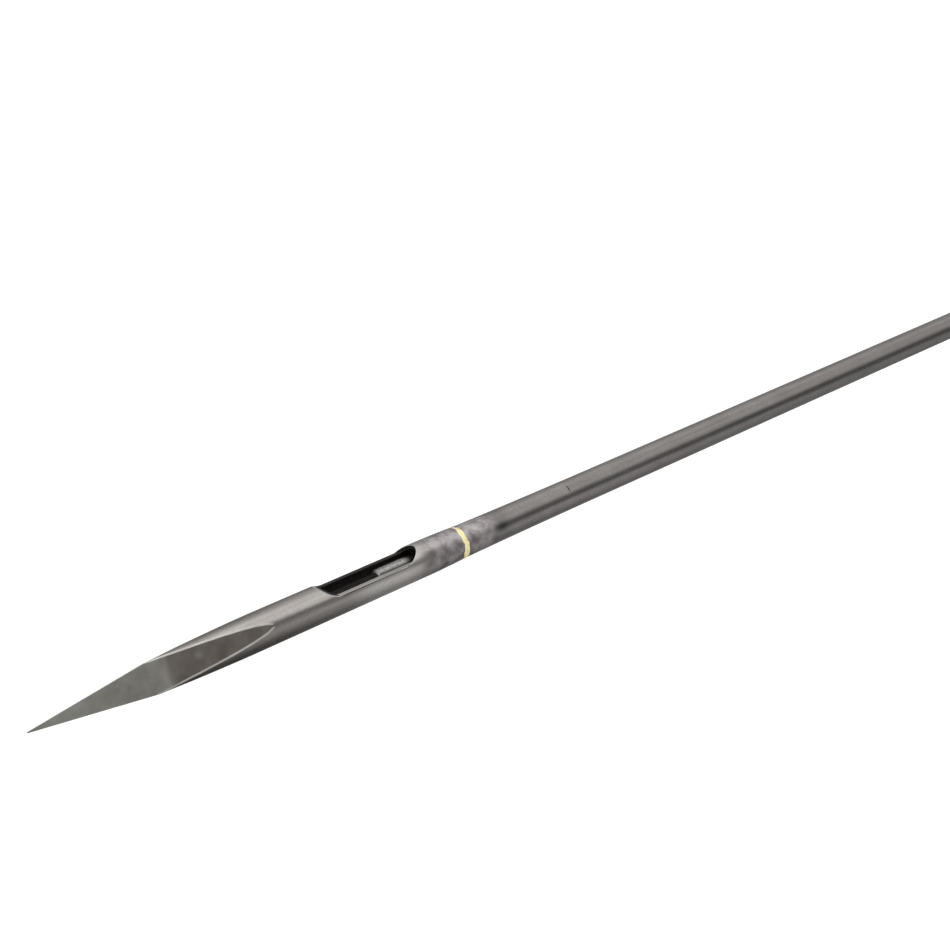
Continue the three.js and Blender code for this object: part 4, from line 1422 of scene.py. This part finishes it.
blackened_steel = worked_metal("blackened_nose_steel", "323030", "151414", 0.36, (1.2, 0.2, 0.2), 0.8)
turned_brass = worked_metal("turned_brass", "d9b96c", "b3924c", 0.26, (0.18, 6.0, 6.0), 3.0)
ferrule_brass = worked_metal("polished_ferrule_brass", "dcbd74", "bf9c55", 0.22, (0.3, 8.0, 8.0), 5.0)
fastener_steel = worked_metal("plain_fastener_steel", "97989a", "7c7d80", 0.3, (0.8, 0.8, 0.8))
button_steel = worked_metal("satin_milled_steel", "aaabad", "909193", 0.34, (4.0, 0.2, 4.0))
spring_steel = worked_metal("tempered_spring_steel", "77787b", "5c5c60", 0.34, (0.6, 0.6, 0.6))
print("other metals made: 6")

# %% [markdown]
# Twine has rubbed the rod to a grainy grey where it lies open in the notch. Painted shade darkens its flank
# beside the near land, and a painted shadow darkens it further back, inside the tube, so the rod seems to
# vanish into the bore.

# %% The sliding rod
# Distances across the axis, in metres, over which painted shade darkens the rod's flank towards the near
# land
NEAR_FLANK_SHADE = (-0.0004, -0.0009)
# Stations over which a painted shadow darkens the rod where it runs into the tube
TUBE_MOUTH_SHADOW = (56.0, 57.3)


def rod_finish():
    """Grainy bare steel in the notch, with painted shade on its near flank and a painted shadow where it
    runs into the tube.
    """
    finish, tree, place, split, station = new_finish("rubbed_drawn_rod")
    grain = noise(tree, place, 0.3, 3.0, 0.7)
    bare = tints(tree, grain, (0.36, "8f8c8a"), (0.62, "cbc8c5"))
    # Painted shade: the flank towards the near land is darkened
    flank_shaded = blend(tree, ramp(tree, split["Y"], *NEAR_FLANK_SHADE, soft=True), bare, "4f4d4b")
    # Painted shadow: behind a grainy border near the mouth of the tube the rod turns dark
    edge = maths(tree, "MULTIPLY_ADD", grain, 0.6, station)
    colour = blend(tree, ramp(tree, edge, *TUBE_MOUTH_SHADOW, soft=True), flank_shaded, "2b2928")
    metal(tree, colour, spread(tree, grain, 0.34, 0.46), grain, 0.5, 0.02)
    return finish


rod_steel = rod_finish()
print("finish:", rod_steel.name)

# %% [markdown]
# The grip is beech, turned, sanded and oiled. Beech has a calm grain along the block and countless short
# dark flecks, up to a few millimetres long and much narrower, which are what tells it from other woods.
# The flecks are the middles of stretched cells. Oil gives a soft sheen, not a varnish.

# %% Oiled beech and leather
FLECK_CELL = (3.4, 0.9, 0.9)
FLECK_EDGE = (0.24, 0.14)


def beech_finish():
    """Grain bands, fine fibres and dark flecks under a thin coat of oil."""
    finish, tree, place, *_ = new_finish("oiled_beech")
    bands = streaks(tree, place, 60.0, 3.2, 3.0, 0.5)
    fibres = streaks(tree, place, 9.0, 0.35, 3.0, 0.65)
    tone = average(tree, 0.4, bands, fibres)
    wood = tints(tree, tone, (0.3, "a8713f"), (0.7, "cf9c66"), (0.5, "bd8652"))
    cells = stretched(tree, place, FLECK_CELL)
    spots = add(tree, "TexVoronoi", {"Vector": cells, "Scale": 1.0, "Randomness": 1.0})
    colour = blend(tree, ramp(tree, spots, *FLECK_EDGE, 0.0, 0.75), wood, "74452a")
    rough = spread(tree, fibres, 0.38, 0.55)
    skin(tree, colour, rough, fibres, 0.35, 0.04, Coat_Weight=0.25, Coat_Roughness=0.22)
    return finish


def leather_finish():
    """Hard brown leather with a pebbled grain."""
    finish, tree, place, *_ = new_finish("hard_brown_leather")
    pebbles = add(tree, "TexVoronoi", {"Vector": place, "Scale": per_mm(0.5)})
    colour = tints(tree, pebbles, (0.1, "5b3a22"), (0.8, "7a5233"))
    skin(tree, colour, 0.8, pebbles, 0.5, 0.05)
    return finish


beech = beech_finish()
leather = leather_finish()
print("finishes:", beech.name, leather.name)

# %% [markdown]
# Each piece gets its finishes in the order of the surface numbers of its faces. The leather washer is
# plain enough to be shown by its solid, so that solid only gets the leather.

# %% Give every piece its finish
finishes = {
    "ground_head": [head_steel, face_steel, scale_and_painted_shade, worn_steel],
    "sliding_rod": [rod_steel, blackened_steel],
    "drawn_tube": [tube_steel],
    "brazed_ring": [pale_braze],
    "bush_fillet": [pale_braze],
    "turned_bush": [turned_brass],
    "brass_ferrule": [ferrule_brass],
    "left_pin": [fastener_steel],
    "right_pin": [fastener_steel],
    "beech_grip": [beech],
    "guide_plate": [ferrule_brass],
    "front_plate_screw": [fastener_steel],
    "rear_plate_screw": [fastener_steel],
    "brass_slide": [turned_brass],
    "socket_set_screw": [fastener_steel],
    "milled_button": [button_steel],
    "top_screw": [fastener_steel],
    "wound_spring": [spring_steel],
    "butt_plug": [turned_brass],
}
for name, chosen in finishes.items():
    for finish in chosen:
        pieces[name].data.materials.append(finish)
for material_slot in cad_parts["buffer_washer"].material_slots:
    material_slot.material = leather
print("pieces dressed:", len(finishes) + 1)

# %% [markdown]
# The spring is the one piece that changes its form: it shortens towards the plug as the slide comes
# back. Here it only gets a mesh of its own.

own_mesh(coil)

# %% [markdown]
# Polished and ground metal shows its surroundings more than itself. The photograph was taken under a
# wide light above the blade, with a dark side towards the camera and a white table below. The world
# gives that to reflections: a card of levels says how bright each direction round the needle's axis is,
# and the slant of a ray along the axis says which part of the blade it comes from, so which card it
# meets. Every other ray sees plain white.

# %% World
# Each card: an angle from straight up towards the camera in degrees, and the level there
BESIDE_POINT = (
    (-180, 0.05), (-150, 0.10), (-104, 0.30), (-84, 0.25), (-62, 0.32), (-44, 0.42), (-30, 0.70),
    (-15, 0.92), (28, 1.0), (38, 0.80), (46, 0.34), (108, 0.30), (130, 0.18), (150, 0.08), (180, 0.05),
)
BESIDE_HEAD = (
    (-180, 0.04), (-150, 0.08), (-120, 0.20), (-104, 0.30), (-92, 0.26), (-84, 0.14), (-62, 0.18),
    (-44, 0.28), (-30, 0.56), (-15, 0.88), (28, 1.0), (42, 0.96), (49, 0.40), (55, 0.03), (68, 0.03),
    (79, 0.30), (94, 0.29), (110, 0.13), (130, 0.07), (150, 0.04), (180, 0.03),
)
BESIDE_SHAFT = (
    (-180, 0.26), (-150, 0.30), (-122, 0.44), (-104, 0.48), (-94, 0.42), (-82, 0.30), (-60, 0.50),
    (-41, 0.76), (-20, 0.90), (0, 0.72), (15, 0.74), (32, 0.84), (50, 0.62), (64, 0.19), (88, 0.17),
    (99, 0.62), (125, 0.60), (142, 0.46), (160, 0.34), (180, 0.26),
)
# Further back the lower half of the shaft meets a dimmer table
BESIDE_BUTT = (
    *BESIDE_SHAFT[:-6], (90, 0.17), (102, 0.42), (125, 0.43), (142, 0.38), (160, 0.32), (180, 0.26),
)
# Slants along the axis between which one card passes into the next
POINT_TO_HEAD = (0.43, 0.48)
HEAD_TO_SHAFT = (0.555, 0.59)
SHAFT_TO_BUTT = (0.70, 0.75)
# The dark card leans, so its reflection climbs slowly towards the rear of the shaft
LEAN = 0.2
LEAN_CENTRE = 0.68

world = bpy.data.worlds.new("pale_studio")
world.use_nodes = True
bpy.context.scene.world = world
sky = world.node_tree
sky.nodes.clear()
toward = add(sky, "SeparateXYZ", {"Vector": add(sky, "TexCoord")}).node.outputs
turn = maths(sky, "ARCTAN2", maths(sky, "MULTIPLY", toward["Y"], -1.0), toward["Z"])
upright_turn = maths(sky, "MULTIPLY_ADD", turn, 1 / (2 * math.pi), 0.5)
slant = maths(sky, "ABSOLUTE", toward["X"])
leaning_turn = maths(sky, "MULTIPLY_ADD", slant, -LEAN, upright_turn)
leaning_turn = maths(sky, "ADD", leaning_turn, LEAN_CENTRE * LEAN)


def card(levels, turned_by):
    """The brightness that a card shows in a direction."""
    first, *middle, last = [((angle + 180) / 360, (level, level, level, 1)) for angle, level in levels]
    return add(sky, "ValToRGB", {"Fac": turned_by}, stops=[first, last, *middle])


forward = blend(
    sky, ramp(sky, slant, *POINT_TO_HEAD),
    card(BESIDE_POINT, upright_turn), card(BESIDE_HEAD, upright_turn),
)
rearward = blend(
    sky, ramp(sky, slant, *SHAFT_TO_BUTT),
    card(BESIDE_SHAFT, leaning_turn), card(BESIDE_BUTT, leaning_turn),
)
reflected = blend(sky, ramp(sky, slant, *HEAD_TO_SHAFT), forward, rearward)
by_reflection = add(sky, "LightPath").node.outputs["Is Glossy Ray"]
seen = blend(sky, by_reflection, WHITE, reflected)
add(sky, "OutputWorld", {"Surface": add(sky, "Background", {"Color": seen, "Strength": 1.0})})
print("world made of cards:", 4)

# %% [markdown]
# The tool lies on a sheet of white paper, which glows a little so that it stays white in the picture.
# A large soft lamp gives gentle shadows. Neither shows in reflections, which the world alone fills.

# %% Floor and lamp
FLOOR_SIZE = 8.0
PAPER_GLOW = 0.72
PAPER_GREY = 0.34
LAMP_PLACE = Vector((-0.35, -0.7, 1.3))
LAMP_SIZE = 0.9
LAMP_POWER = 9

floor_bm = bmesh.new()
bmesh.ops.create_grid(floor_bm, x_segments=1, y_segments=1, size=FLOOR_SIZE / 2)
floor_mesh = bpy.data.meshes.new("table_top")
floor_bm.to_mesh(floor_mesh)
floor_bm.free()
floor = bpy.data.objects.new("table_top", floor_mesh)
bpy.context.scene.collection.objects.link(floor)
floor.visible_glossy = False

paper, tree, *_ = new_finish("white_table_paper")
glow = add(tree, "Emission", {"Color": WHITE, "Strength": PAPER_GLOW})
matt = add(tree, "BsdfDiffuse", {"Color": (PAPER_GREY, PAPER_GREY, PAPER_GREY, 1)})
add(tree, "OutputMaterial", {"Surface": add(tree, "AddShader", {0: glow, 1: matt})})
floor_mesh.materials.append(paper)

lamp_data = bpy.data.lights.new("soft_lamp", "AREA")
lamp_data.shape = "SQUARE"
lamp_data.size = LAMP_SIZE
lamp_data.energy = LAMP_POWER
lamp = bpy.data.objects.new("soft_lamp", lamp_data)
bpy.context.scene.collection.objects.link(lamp)
facing_down = LAMP_PLACE.to_track_quat("Z", "Y").to_matrix().to_4x4()
lamp.matrix_world = Matrix.Translation(LAMP_PLACE) @ facing_down
lamp.visible_camera = False
lamp.visible_glossy = False

bpy.context.scene.view_settings.view_transform = "Standard"
print("stage set")
